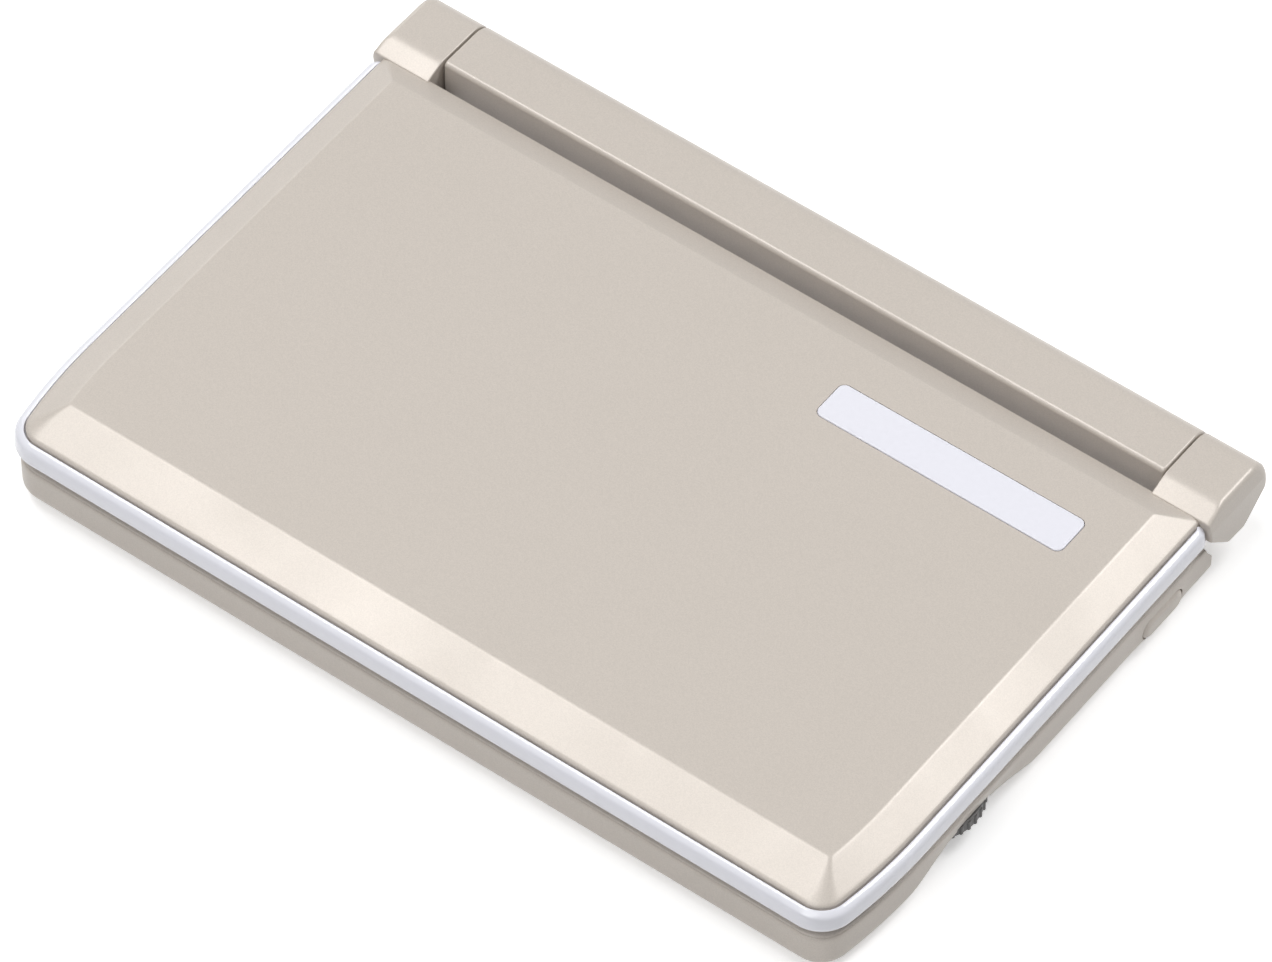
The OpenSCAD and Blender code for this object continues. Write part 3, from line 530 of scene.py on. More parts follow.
# A reflective display: faint pixel lines over a grey green ground
def buildDisplay(name, colour, pitch):
    made, tree, shader = newMaterial(name, {"Metallic": 0.0})
    tones = {key: (*(c * dim for c in colour), 1) for key, dim in (("Color1", 1), ("Color2", 0.985), ("Mortar", 0.9))}
    tiled(tree, shader, {"Scale": 1 / pitch, "Mortar Size": 0.08, "Brick Width": 1.0, "Row Height": 1.0, **tones},
          offset=0.0)
    touched(tree, shader, 0.05, (0.32, 0.4))
    return made


def buildClear():
    made, tree, shader = newMaterial("clearWindow", {"Metallic": 0.0, "Transmission Weight": 1.0, "IOR": 1.49,
                                                     "Base Color": (0.93, 0.95, 0.94, 1)})
    touched(tree, shader, 0.02, (0.02, 0.06))
    return made


# Plain battery sleeve of satin metal
def buildSleeve():
    made, tree, shader = newMaterial("batterySleeve", {"Metallic": 0.7})
    mask = touched(tree, shader, 0.012, (0.28, 0.38))
    grain = placeGroup(tree, mouldGrain, {"Size": 0.0004, "Height": 0.05})
    shadedColour(tree, shader, (0.16, 0.22, 0.3), spread(tree, grain["Mask"], 0.95, 1.05), (0.13, 0.19, 0.27), mask)
    return made


board = buildBoard()
screenGround = buildDisplay("screenGround", (0.36, 0.40, 0.36), 0.0003)
panelGround = buildDisplay("writingGround", (0.38, 0.42, 0.38), 0.00035)
clear = buildClear()
sleeve = buildSleeve()
print("materials ready")

# Geometry node trees


def geometryTree(name, inputs):
    return nodeGroup("GeometryNodeTree", name, {"Geometry": "Geometry", **inputs, "Material": "Material"},
                     {"Geometry": "Geometry"})


# The end of every tree: instances made real, then the material
def endTree(tree, start, end, geometry, smooth=False):
    real = node(tree, "GeometryNodeRealizeInstances", {0: geometry})
    if smooth:
        real = node(tree, "GeometryNodeSetShadeSmooth", {0: real.outputs[0]})
    colour = node(tree, "GeometryNodeSetMaterial", {"Geometry": real.outputs[0], "Material": start["Material"]})
    feed(tree, end, {0: colour.outputs[0]})


# What is repeated, then the mesh that came in
def withMesh(tree, start, repeated):
    both = node(tree, "GeometryNodeJoinGeometry", {0: repeated})
    feed(tree, both, {0: start["Geometry"]})
    return both.outputs[0]


# Copies of one part at each point of the mesh, turned by a step from one to the next
def buildCopies():
    tree, start, end, ids = geometryTree("copiesOnPoints", {"Part": "Object", "Turn": 0.7})
    part = node(tree, "GeometryNodeObjectInfo", {"Object": start["Part"]})
    points = node(tree, "GeometryNodeMeshToPoints", {"Mesh": start["Geometry"]})
    turn = math2(tree, "MULTIPLY", node(tree, "GeometryNodeInputIndex").outputs[0], start["Turn"])
    place = node(tree, "GeometryNodeInstanceOnPoints", {
        "Points": points.outputs[0], "Instance": part.outputs["Geometry"],
        "Rotation": node(tree, "ShaderNodeCombineXYZ", {"Z": turn}).outputs[0]})
    endTree(tree, start, end, place.outputs[0])
    return tree, ids


# Ribs round a disc: the disc comes in as the mesh, the ribs stand on a circle
def buildKnurls():
    tree, start, end, ids = geometryTree("knurledRim", {
        "Radius": 0.0079, "Count": 36, "Rib Radius": 0.0003, "Height": 0.0018, "Centre": (0, 0, 0)})
    circle = node(tree, "GeometryNodeMeshCircle", {"Radius": start["Radius"], "Vertices": start["Count"]})
    rib = node(tree, "GeometryNodeMeshCylinder", {
        "Vertices": 12, "Radius": start["Rib Radius"], "Depth": start["Height"]})
    place = node(tree, "GeometryNodeInstanceOnPoints", {"Points": circle.outputs[0], "Instance": rib.outputs[0]})
    move = node(tree, "GeometryNodeTransform", {"Geometry": place.outputs[0], "Translation": start["Centre"]})
    endTree(tree, start, end, withMesh(tree, start, move.outputs[0]), smooth=True)
    return tree, ids


# A row of bars along Y, added to the mesh that comes in
def buildRibs():
    tree, start, end, ids = geometryTree("barRow", {
        "Part": "Object", "Count": 8, "Pitch": 0.0012, "First": (0, 0, 0)})
    part = node(tree, "GeometryNodeObjectInfo", {"Object": start["Part"]})
    step = node(tree, "ShaderNodeCombineXYZ", {"Y": start["Pitch"]})
    row = node(tree, "GeometryNodeMeshLine", {
        "Count": start["Count"], "Start Location": start["First"], "Offset": step.outputs[0]})
    place = node(tree, "GeometryNodeInstanceOnPoints", {
        "Points": row.outputs[0], "Instance": part.outputs["Geometry"]})
    endTree(tree, start, end, withMesh(tree, start, place.outputs[0]))
    return tree, ids


copiesTree, copiesIds = buildCopies()
knurlTree, knurlIds = buildKnurls()
ribTree, ribIds = buildRibs()


def runTree(obj, tree, ids, values):
    mod = obj.modifiers.new("nodes", "NODES")
    mod.node_group = tree
    for label, value in values.items():
        mod[ids[label]] = value
    return bake(obj)


# One plain mesh of a part repeated at several places
def copiesAt(name, places, part, material, turn=0.7):
    obj = meshFrom(name, places, [], solid=False)
    runTree(obj, copiesTree, copiesIds, {"Part": part, "Turn": turn, "Material": material})
    bpy.data.objects.remove(part)
    return obj


print("node trees ready")

# Lid

lidCoverShape = {
    "inset": 1.7, "panelSide": 6.7, "panelFront": 8.5, "panelRear": 4.8, "rim": 13.6, "edgeRound": 0.42,
    "creaseRound": 0.28, "panelCorner": 0.6, "cornerFade": 1.6, "rearCorner": 0.9, "wall": 1.2, "fold": 0.1,
    "innerFoot": 0.15, "flatStart": 0.5, "badgeGap": 0.1, "badgeCorner": 1.3,
    "levels": (0.08, 0.2, 0.35, 0.5, 0.7, 0.9),
}


# One level of the bevel, from 0 at the rim to 1 at the panel
def bevelRing(t, shrink=0.0, drop=0.0):
    s = lidCoverShape
    side = s["inset"] + (s["panelSide"] - s["inset"]) * t + shrink
    front = s["inset"] + (s["panelFront"] - s["inset"]) * t + shrink
    corner = s["panelCorner"] + (outline["cornerRadius"] - s["inset"] - s["panelCorner"]) * (1 - t) ** s["cornerFade"]
    least = outline["leastRound"]
    return shellRing(side, s["rim"] + (panelTop - s["rim"]) * t - drop, coverRear - s["panelRear"] * t - shrink,
                     front, corner, least + (s["rearCorner"] - least) * (1 - t))


def buildLidCover():
    s = lidCoverShape
    low = coverLow.z
    inner = s["inset"] + s["wall"]
    across = s["panelSide"] - s["inset"]
    bevelLow, bevelHigh = s["edgeRound"] / across, 1 - s["creaseRound"] / across
    rings = [
        bevelRing(1, s["wall"], s["wall"]),
        shellRing(inner, low + s["innerFoot"], coverRear - s["wall"]),
        shellRing(inner, low, coverRear - s["wall"]),
        shellRing(s["inset"] + s["fold"], low, coverRear - s["fold"], rearRound=s["rearCorner"]),
        shellRing(s["inset"], low + s["fold"], coverRear, rearRound=s["rearCorner"]),
    ]
    rings += bentRings(shellRing(s["inset"], s["rim"] - s["edgeRound"], coverRear, rearRound=s["rearCorner"]),
                       bevelRing(0), bevelRing(bevelLow), 7)
    rings += [bevelRing(bevelLow + (bevelHigh - bevelLow) * t) for t in s["levels"]]
    rings += bentRings(bevelRing(bevelHigh), bevelRing(1), bevelRing(1, s["creaseRound"]), 5)
    rings.append(bevelRing(1, s["creaseRound"] + s["flatStart"]))
    obj = loft("lidCover", rings)
    badgeFoot, _, mid, size = boxOf("nameplate")
    w, d = (size[k] + 2 * s["badgeGap"] for k in (0, 1))
    cut(obj, plate("recess", w, d, s["badgeCorner"], [(0, badgeFoot.z), (0, panelTop + 1)], mid, 8))
    return finishPiece(obj, "lid", [paint], ["lid_cover"], angle=40)


badgeShape = {"corner": 1.2, "round": 0.22, "flatStart": 0.6}


def buildBadge():
    low, high, mid, size = boxOf("nameplate")
    edge = badgeShape["round"]
    levels = [(0, low.z), (0, high.z - edge)]
    levels += [(-edge * (1 - c), high.z - edge + edge * s) for c, s in quarter(4)]
    levels.append((-badgeShape["flatStart"], high.z))
    obj = plate("badge", size[0], size[1], badgeShape["corner"], levels, mid, 8)
    return finishPiece(obj, "lid", [badgeWhite], ["nameplate"], angle=50)


# Section of the white bead and its frame: inset, inset at the rear, height, rounding of the rear end
trimSection = [
    (3.5, 2.0, 10.6, 0.4), (1.15, 0.85, 10.6, 1.3), (1.1, 0.8, 10.5, 1.3), (1.1, 0.8, 10.0, 1.3),
    (1.0, 0.75, 9.92, 1.3), (0.6, 0.65, 9.9, 1.4), (0.27, 0.5, 9.98, 1.5), (0.08, 0.4, 10.22, 1.6),
    (0.0, 0.35, 10.6, 1.7), (0.02, 0.35, 11.0, 1.7), (0.06, 0.37, 11.5, 1.7), (0.12, 0.4, 12.0, 1.7),
    (0.17, 0.45, 12.3, 1.7), (0.23, 0.49, 12.5, 1.6), (0.33, 0.55, 12.69, 1.6), (0.48, 0.67, 12.85, 1.5),
    (0.72, 0.8, 13.0, 1.4), (1.0, 0.95, 13.14, 1.2), (1.24, 1.07, 13.24, 1.1), (1.36, 1.13, 13.24, 1.0),
    (1.45, 1.15, 13.18, 0.9), (1.5, 1.15, 13.05, 0.8), (1.5, 1.15, 12.5, 0.8), (1.55, 1.25, 12.38, 0.7),
    (3.5, 2.0, 12.38, 0.4),
]


def buildTrim():
    rings = [shellRing(i, z, coverRear - back, rearRound=r) for i, back, z, r in trimSection]
    obj = loft("trimBead", rings, closed=True)
    return finishPiece(obj, "lid", [white], ["lid_frame"], angle=50)


# The ear's outer side leans in above a height, and its rear end is round seen from above.
# keelFront, foot and slope are places behind the cover's rear and heights, keel is measured from the axis
earShape = {
    "topRound": 1.0, "topEdge": 73.6, "leanFrom": 12.3, "rearRound": 1.3, "keelRound": 0.3, "frontRound": 0.9,
    "innerRound": 0.2, "topSlope": 0.2, "rearFoot": 10.5, "keelFront": (-0.5, 10.2), "foot": (-0.85, 14.1),
    "slope": 2.6, "keel": ((0.8, -4.0), (0.2, -4.4), (-3.6, -4.1)), "frontShare": 0.3,
    "radii": (0.3, 0.3, 5.0, 3.6, 0.7, 0.6, 0.5, 0.5), "flatRings": (71.0, 71.5, 72.0, 72.3),
    "leanRings": (0.25, 0.5, 0.75, 0.9, 0.97, 1.0),
}


# Corners of the ear seen from the side
def earCorners():
    s = earShape
    top = earHigh.z
    return [(coverRear + y, z) for y, z in (s["keelFront"], s["foot"], (s["slope"], top))] + [
        (rearY, top - s["topSlope"]), (rearY, s["rearFoot"])] + [(hingeY + y, hingeZ + z) for y, z in s["keel"]]


# How far a side has moved in at x when its end is rounded by r
def endRound(x, end, r):
    over = x - (end - r)
    return 0.0 if over <= 0 else r - math.sqrt(max(r * r - over * over, 0.0))


def earRing(x, limit, drop, inner=0.0):
    s = earShape
    rear, keel, front = (endRound(x, earHigh.x, s[k]) for k in ("rearRound", "keelRound", "frontRound"))
    inward = [front * s["frontShare"], front, drop, rear, keel, keel, keel, keel]
    ring = roundedOutline(movedIn(earCorners(), [d + inner for d in inward]), s["radii"])
    return [(x, y, min(z, limit)) for y, z in ring]


def buildEars():
    s = earShape
    top = earHigh.z
    outerX, r = earHigh.x, s["topRound"]
    turn = s["innerRound"]
    rings = [earRing(earLow.x + turn * (1 - c), top, 0, turn * (1 - n)) for c, n in quarter(4, 0)]
    rings += [earRing(x, top, 0) for x in s["flatRings"]]
    lean = math.degrees(math.atan((outerX - s["topEdge"]) / (top - r - s["leanFrom"])))
    for k in range(7):
        a = math.radians(90 - (90 - lean) * k / 6)
        drop = r * (1 - math.sin(a))
        rings.append(earRing(s["topEdge"] - r + r * math.cos(a), top - drop, drop))
    x0, z0 = rings[-1][0][0], top - r * (1 - math.sin(math.radians(lean)))
    for t in s["leanRings"]:
        rings.append(earRing(x0 + (outerX - x0) * t, z0 + (s["leanFrom"] - z0) * t, r))
    for side, name, cadNode in ((1, "earRight", "hinge_ear_right"), (-1, "earLeft", "hinge_ear_left")):
        obj = loft(name, [[(side * x, y, z) for x, y, z in ring] for ring in rings])
        finishPiece(obj, "lid", [paint], [cadNode], angle=40)


bezelShape = {"inset": 3.6, "rear": 2.1, "edge": 0.12, "opening": (112.0, 62.0), "corner": 1.5, "chamfer": 0.5,
              "chamferDepth": 0.6, "screwInset": 1.3}
wellProfile = [(1.5, -1), (1.5, 0), (1.4, 0.1), (1.4, 0.4)]


def buildBezel():
    s = bezelShape
    low, high = span("display_bezel")
    rings = [shellRing(s["inset"] + e, z, coverRear - s["rear"] - e)
             for e, z in ((s["edge"], low.z), (0, low.z + s["edge"]), (0, high.z))]
    obj = loft("displayBezel", rings)
    c = s["chamfer"]
    levels = [(c + 0.5, low.z - 0.5), (c, low.z), (0, low.z + s["chamferDepth"]), (0, high.z + 1)]
    cut(obj, plate("opening", *s["opening"], s["corner"], levels, (0, (frontY + coverRear) / 2), 8))
    _, screwHigh, screwMid, _ = boxOf("lid_screws")
    screwX = screwHigh.x - s["screwInset"]
    for x in (-screwX, screwX):
        cut(obj, lathe("well", [(r, low.z + h) for r, h in wellProfile], (x, screwMid[1], 0), steps=48))
    return finishPiece(obj, "lid", [silver], ["display_bezel"], angle=30)


# Shares of the head's radius and height
screwShape = {"wall": 0.35, "flat": 0.72, "arm": 0.62, "slot": 0.2, "slotFoot": 0.75, "slotRound": 0.04}


# A pan head with a cross recess that points down
def screwHead(name, radius, height):
    s = screwShape
    rim = [(radius * 0.999, 0), (radius, height * s["wall"])]
    rim += [(radius * (s["flat"] + (1 - s["flat"]) * c), height * (s["wall"] + (1 - s["wall"]) * n))
            for c, n in quarter(4)]
    obj = lathe(name, rim + [(radius * 0.05, height)], (0, 0, 0), steps=32)
    arm, slot = radius * s["arm"] * 2, radius * s["slot"]
    for w, d in ((arm, slot), (slot, arm)):
        cut(obj, loft("cross", [roundedRing(w * f, d * f, radius * s["slotRound"], z, (0, 0), 2, 1)
                                for f, z in ((s["slotFoot"], height * s["wall"]), (1.0, height * 1.2))]))
    obj.data.transform(Matrix.Rotation(math.pi, 4, "X"))
    return smoothed(obj, 35)


lidScrew = {"radius": 1.25, "inset": 1.3}
# Shares of the bumper's radius and depth
bumperProfile = [(1, 0), (1, -0.6), (0.93, -0.85), (0.75, -0.97), (0.4, -1)]


def buildLidSmallParts():
    low, high, mid, size = boxOf("lid_screws")
    screwX = high.x - lidScrew["inset"]
    screws = copiesAt("lidScrews", [(-screwX, mid[1], high.z), (screwX, mid[1], high.z)],
                      screwHead("screwPart", lidScrew["radius"], size[2]), steel)
    finishPiece(screws, "lid", None, ["lid_screws"], angle=35)
    low, high, mid, size = boxOf("lid_bumpers")
    r, t = size[1] / 2, size[2]
    pad = lathe("bumperPart", [(r * f, t * h) for f, h in bumperProfile] + [(0.05, -t)], (0, 0, 0), steps=40)
    bumpers = copiesAt("lidBumpers", [(low.x + r, low.y + r, high.z), (high.x - r, low.y + r, high.z)], pad, rubber)
    finishPiece(bumpers, "lid", None, ["lid_bumpers"], angle=40)


screenShape = {"pane": 1.5, "glass": 1.0, "writing": 1.4, "corner": 1.2, "border": 5.2, "writingBorder": 3.0,
               "print": 0.03, "holeCorner": 0.6}


# A thin printed border: an outer plate with an opening
def flatFrame(name, w, d, border, z, centre):
    s = screenShape
    obj = plate(name, w, d, s["corner"], [(0, z), (0, z + s["print"])], centre)
    cut(obj, plate("hole", w - 2 * border, d - 2 * border, s["corner"] * s["holeCorner"],
                   [(0, z - 1), (0, z + 1 + s["print"])], centre))
    return obj


def buildScreens():
    s = screenShape
    low, high, mid, (w, d, _) = boxOf("display_window")
    centre = (0, mid[1])
    pane = plate("displayWindow", w, d, s["pane"], [(0, low.z + 0.01), (0, high.z - 0.05)], centre)
    finishPiece(pane, "lid", [clear], ["display_window"], angle=30)
    border = flatFrame("displayBorder", w - 0.2, d - 0.2, s["border"], high.z - 0.04, centre)
    finishPiece(border, "lid", [darkPlastic], angle=30)
    low, high = span("lcd_panel")
    glass = plate("displayPanel", w, d, s["glass"], [(0, low.z + 0.01), (0, high.z)], centre)
    finishPiece(glass, "lid", [screenGround], ["lcd_panel"], angle=30)
    low, high, mid, (w, d, _) = boxOf("touch_window")
    centre = (0, mid[1])
    window = plate("writingWindow", w, d, s["writing"], [
        (0, low.z + 0.01), (0, high.z - 0.08), (-0.06, high.z - 0.02), (-0.1, high.z)], centre)
    finishPiece(window, "base", [clear], ["touch_window"], angle=30)
    _, high, _, (w, d, _) = boxOf("sub_lcd")
    border = flatFrame("writingBorder", w - 0.4, d - 0.4, s["writingBorder"], high.z + 0.02, centre)
    finishPiece(border, "base", [darkPlastic], angle=30)


buildLidCover()
buildBadge()
buildTrim()
buildEars()
buildBezel()
buildLidSmallParts()
buildScreens()
print("lid pieces made")

# Base

# Room behind the axis that the ears sweep, seen from the side
sweepBack = [(hingeY - 5, -2), (hingeY + 12, -2), (hingeY + 12, 20), (hingeY - 5, 20)]


# Cutters for the room that the ears sweep, at both ends
def sweepCutters():
    made = []
    for side in (-1, 1):
        ends = (side * barHigh.x, side * 80)
        made.append(lathe("sweep", [(sweepRadius, x) for x in ends], (0, hingeY, hingeZ), "X", 96))
        made.append(prismAlongX("sweepBack", sweepBack, *sorted(ends)))
    return made


# Side of the base from the parting line down: inset, height
sideSection = [
    (1.0, 7.5), (0.92, 7.46), (0.84, 7.39), (0.77, 7.28), (0.72, 7.12), (0.7, 6.9), (0.7, 6.4), (0.7, 5.8),
    (0.7, 5.3), (0.7, 4.8), (0.7, 4.3), (0.7, 3.8), (0.7, 3.3), (0.71, 2.9), (0.77, 2.5), (0.92, 2.1),
    (1.15, 1.72), (1.5, 1.38), (1.95, 1.1), (2.5, 0.9), (3.1, 0.82), (3.6, 0.8),
]
scoopShape = {"fromX": 60, "y": -18.0, "top": 5.3, "radius": 27.6, "lean": 1.0, "blend": 0.28, "halfLength": 16.5,
              "fade": 0.9, "wallDip": 0.3, "wallLength": 9.5, "wallTop": 7.0, "wallFade": 1.6}
swellShape = {"y": 26.6, "z": 4.0, "height": 0.22, "along": 5.2, "upDown": 2.4}


# How far the right side moves out (+) or in (-) at a place
def sideField(x, y, z):
    if x < scoopShape["fromX"]:
        return 0.0
    s, w = scoopShape, swellShape
    dy = y - s["y"]
    r = s["radius"] + (s["top"] - z) * s["lean"]
    depth = math.sqrt(max(r * r - dy * dy, 0)) - s["radius"] if abs(dy) < r else -9
    soft = s["blend"] * math.log1p(math.exp(min(depth / s["blend"], 40)))
    fade = 1 / (1 + math.exp((abs(dy) - s["halfLength"]) / s["fade"]))
    below = max(0.0, min(1.0, (s["wallTop"] - z) / s["wallFade"]))
    dip = s["wallDip"] * math.exp(-((dy / s["wallLength"]) ** 4)) * below
    swell = w["height"] * math.exp(-(((y - w["y"]) / w["along"]) ** 4)) * math.exp(-(((z - w["z"]) / w["upDown"]) ** 4))
    return swell - max(soft * fade, dip)


baseShape = {
    "rear": 1.7, "rearRound": 0.4, "floorInset": 5.5, "blockRadii": (0.02, 0.06, 2.5, 0.02), "cavityInset": 2.3,
    "cavityFloor": 2.2, "cavityRear": 7, "cellRadius": 5.45, "cellEnd": 47, "bay": (-5.25, 5.15), "seatGap": 0.15,
    "seatCorner": ((-0.9, 2.4), (-1.6, 1.4), (-2.6, 0.9)), "silo": (7.0, 3.8), "siloStart": -0.3,
    "siloMouth": (70.1, 9.74, 3.74), "dialGap": 0.3, "jack": (2.45, 5.0, -71), "cardSlot": (24.4, 2.2, 0.5),
    "cardEnd": -70.0, "screwInset": 1.8, "pastSide": 76.0,
}
caseWell = [(2.1, -1), (2.1, 0), (1.9, 0.12), (1.9, 0.9)]


# Cutters for what opens to the sides and the bottom
def baseOpenings():
    s = baseShape
    low, _, (_, y, z), _ = boxOf("stylus")
    made = []
    for x0, w, h in ((low.x + s["siloStart"], *s["silo"]), s["siloMouth"]):
        made.append(loft("silo", [acrossX(x, w, h, h / 2 - 0.01, y, z, 10, 2) for x in (x0, s["pastSide"])]))
    low, high, (x, y, _), size = boxOf("volume_dial")
    r, gap = size[1] / 2 + s["dialGap"], s["dialGap"]
    made.append(lathe("dialSlot", [(r, low.z - gap), (r, high.z + gap)], (x, y, 0), steps=96))
    r, z, inner = s["jack"]
    made.append(lathe("jackHole", [(r, -s["pastSide"]), (r, inner)], (0, boxOf("earphone_jack")[2][1], z), "X", 48))
    _, _, (_, y, z), _ = boxOf("card_socket")
    made.append(loft("cardSlot", [acrossX(x, *s["cardSlot"], y, z, 4, 2) for x in (-s["pastSide"], s["cardEnd"])]))
    low, high = span("case_screws")
    for x in (low.x + s["screwInset"], high.x - s["screwInset"]):
        for y in (low.y + s["screwInset"], high.y - s["screwInset"]):
            made.append(lathe("screwWell", [(r, baseLow.z + h) for r, h in caseWell], (x, y, 0), steps=40))
    return made


# Cutters for the room inside, the cells and the seat of their cover
def baseRooms():
    s = baseShape
    made = [loft("cavity", [shellRing(s["cavityInset"], z, hingeY - s["cavityRear"])
                            for z in (s["cavityFloor"], parting + 1)])]
    _, _, (_, y, z), _ = boxOf("batteries")
    end, r = s["cellEnd"], s["cellRadius"]
    made.append(lathe("cells", [(r, -end), (r, end)], (0, y, z), "X", 48))
    front, rear = (y + d for d in s["bay"])
    made.append(prismAlongX("bayMouth", [(front, -1), (rear, -1), (rear, z), (front, z)], -end, end))
    low, high = span("battery_cover")
    gap, foot = s["seatGap"], baseLow.z
    corner = [(rearY + y, foot + z) for y, z in s["seatCorner"]]
    made.append(prismAlongX("hatchSeat", [
        (low.y - gap, foot - 1), (rearY + 1, foot - 1), (rearY + 1, high.z + gap), (corner[0][0], high.z + gap),
        *corner, (low.y - gap, corner[-1][1])], low.x - gap, high.x + gap))
    return made + sweepCutters()


def buildBaseShell():
    s = baseShape
    rear = coverRear + s["rear"]
    rings = []
    for inset, z in sideSection:
        ring = shellRing(inset, z, rear, rearRound=s["rearRound"])
        rings.append([(x + sideField(x, y, z), y, z) for x, y, z in ring])
    rings.append(shellRing(s["floorInset"], baseLow.z, rear - 2, rearRound=s["rearRound"]))
    obj = loft("baseShell", rings)
    block = roundedOutline([(rear - 3, parting), (rearY, parting), (rearY, baseLow.z), (rear - 3, baseLow.z)],
                           s["blockRadii"])
    for cutter in baseOpenings():
        cut(obj, cutter)
    cut(obj, prismAlongX("rearBlock", block, -barHigh.x, barHigh.x), "UNION")
    for cutter in baseRooms():
        cut(obj, cutter)
    return finishPiece(obj, "base", [paint], ["base_bottom"])


# Shoulder of the upper case from the parting line up: inset, height
shoulderSection = [(1.04, 7.5), (1.0, 7.53), (1.04, 7.61), (1.15, 7.7), (1.6, 7.86), (2.2, 8.08), (2.7, 8.3),
                   (2.9, 8.5), (3.0, 8.8), (3.05, 9.4), (3.1, 9.85), (3.25, 10.05), (3.5, 10.1), (4.2, 10.1)]
deckShape = {"deck": 9.4, "thickness": 1.4, "lip": 4.4, "lipEdge": 0.14, "lipFlare": 0.3, "cavityInset": 3.4,
             "gap": 0.25, "keyCorner": 1.4, "slotCount": 7, "slotPitch": 2.2, "slot": (12.0, 1.0, 0.49),
             "flare": 0.14, "smallFlare": 0.1, "windowGap": 0.1, "windowCorner": 1.5, "ledge": 2, "ledgeCorner": 1.0}


def keyPlace(name):
    low, high, (x, y, _), (w, d, _) = boxOf(name)
    return x, y, w, d, low.z, high.z


keyNodes = [n for n in sorted(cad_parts) if n.startswith("key_")]


# Cutters for the keys, the cursor pad and the speaker's slots
def deckHoles():
    s = deckShape
    deck, flare, edge = s["deck"], s["flare"], s["smallFlare"]
    foot = parting - 0.5
    levels = [(0, foot), (0, deck - flare), (flare, deck), (2 * flare, deck + flare)]
    made = []
    for name in keyNodes:
        x, y, w, d, _, _ = keyPlace(name)
        made.append(plate("hole", w, d, s["keyCorner"], [(s["gap"] + g, z) for g, z in levels], (x, y), 6, 1))
    x, y, w, _, _, _ = keyPlace("cursor_pad")
    made.append(lathe("hole", [(w / 2 + s["gap"] + g, z) for g, z in levels], (x, y, 0), steps=72))
    x, y, _, _, _, _ = keyPlace("speaker")
    for k in range(s["slotCount"]):
        cy = y + (k - (s["slotCount"] - 1) / 2) * s["slotPitch"]
        made.append(plate("slot", *s["slot"], [(0, deck - s["thickness"] - 0.5), (0, deck - edge), (edge, deck),
                                               (2 * edge, deck + edge)], (x, cy), 5, 1))
    return made


def buildDeck():
    s = deckShape
    deck, edge = s["deck"], s["smallFlare"]
    rear = barLow.y - 0.1
    obj = loft("keyboardDeck", [shellRing(i, z, rear) for i, z in shoulderSection])
    lip, lipEdge, flare = s["lip"], s["lipEdge"], s["lipFlare"]
    cut(obj, loft("recess", [shellRing(i, z, rear + 4) for i, z in (
        (lip, deck), (lip, lipTop - lipEdge), (lip - lipEdge, lipTop), (lip - flare, lipTop + 0.2))]))
    cut(obj, loft("cavity", [shellRing(s["cavityInset"], z, rear + 1) for z in (parting - 1, deck - s["thickness"])]))
    cut(obj, joined("deckHoles", deckHoles()))
    low, _, mid, size = boxOf("touch_window")
    centre = (0, mid[1])
    w, d = (size[k] + 2 * s["windowGap"] for k in (0, 1))
    cut(obj, plate("windowSeat", w, d, s["windowCorner"], [(0, low.z), (0, deck - edge), (edge, deck),
                                                           (2 * edge, deck + edge)], centre))
    cut(obj, plate("windowHole", w - 2 * s["ledge"], d - 2 * s["ledge"], s["ledgeCorner"],
                   [(0, parting), (0, low.z + 0.1)], centre))
    for cutter in sweepCutters():
        cut(obj, cutter)

    def inTray(c):
        inside = abs(c.x) < halfWidth - lip + 0.02 and c.y > frontY + lip - 0.02
        return int(inside and parting + 0.3 < c.z < deck + 0.03)

    return finishPiece(obj, "base", [paint, silver], ["base_top"], angle=30, pick=inTray)


barShape = {"frontRound": 0.75, "rearRound": 3.6, "slope": 0.2, "endRound": 0.35, "footRounds": (0.08, 0.1)}


def buildBar():
    s = barShape
    corners = [(barLow.y, parting), (barLow.y, barHigh.z), (rearY, barHigh.z - s["slope"]), (rearY, parting)]
    radii = [s["footRounds"][0], s["frontRound"], s["rearRound"], s["footRounds"][1]]
    rings = []
    for side in (-1, 1):
        for c, n in quarter(5, 0)[::-side]:
            x = side * (barHigh.x - s["endRound"] * (1 - c))
            ring = roundedOutline(movedIn(corners, [s["endRound"] * (1 - n)] * 4), radii, 12)
            rings.append([(x, y, z) for y, z in ring])
    return finishPiece(loft("hingeBar", rings), "base", [paint], ["hinge_bar"], angle=40)


hatchShape = {"wall": 0.75, "corner": 2.5, "edge": 0.1, "ribs": 7, "ribPitch": 1.1, "ribFirst": 1.9,
              "rib": (26.0, 0.6, 0.29), "ribLevels": ((1.0, 0.3), (1.0, -0.12), (0.97, -0.2), (0.9, -0.24))}


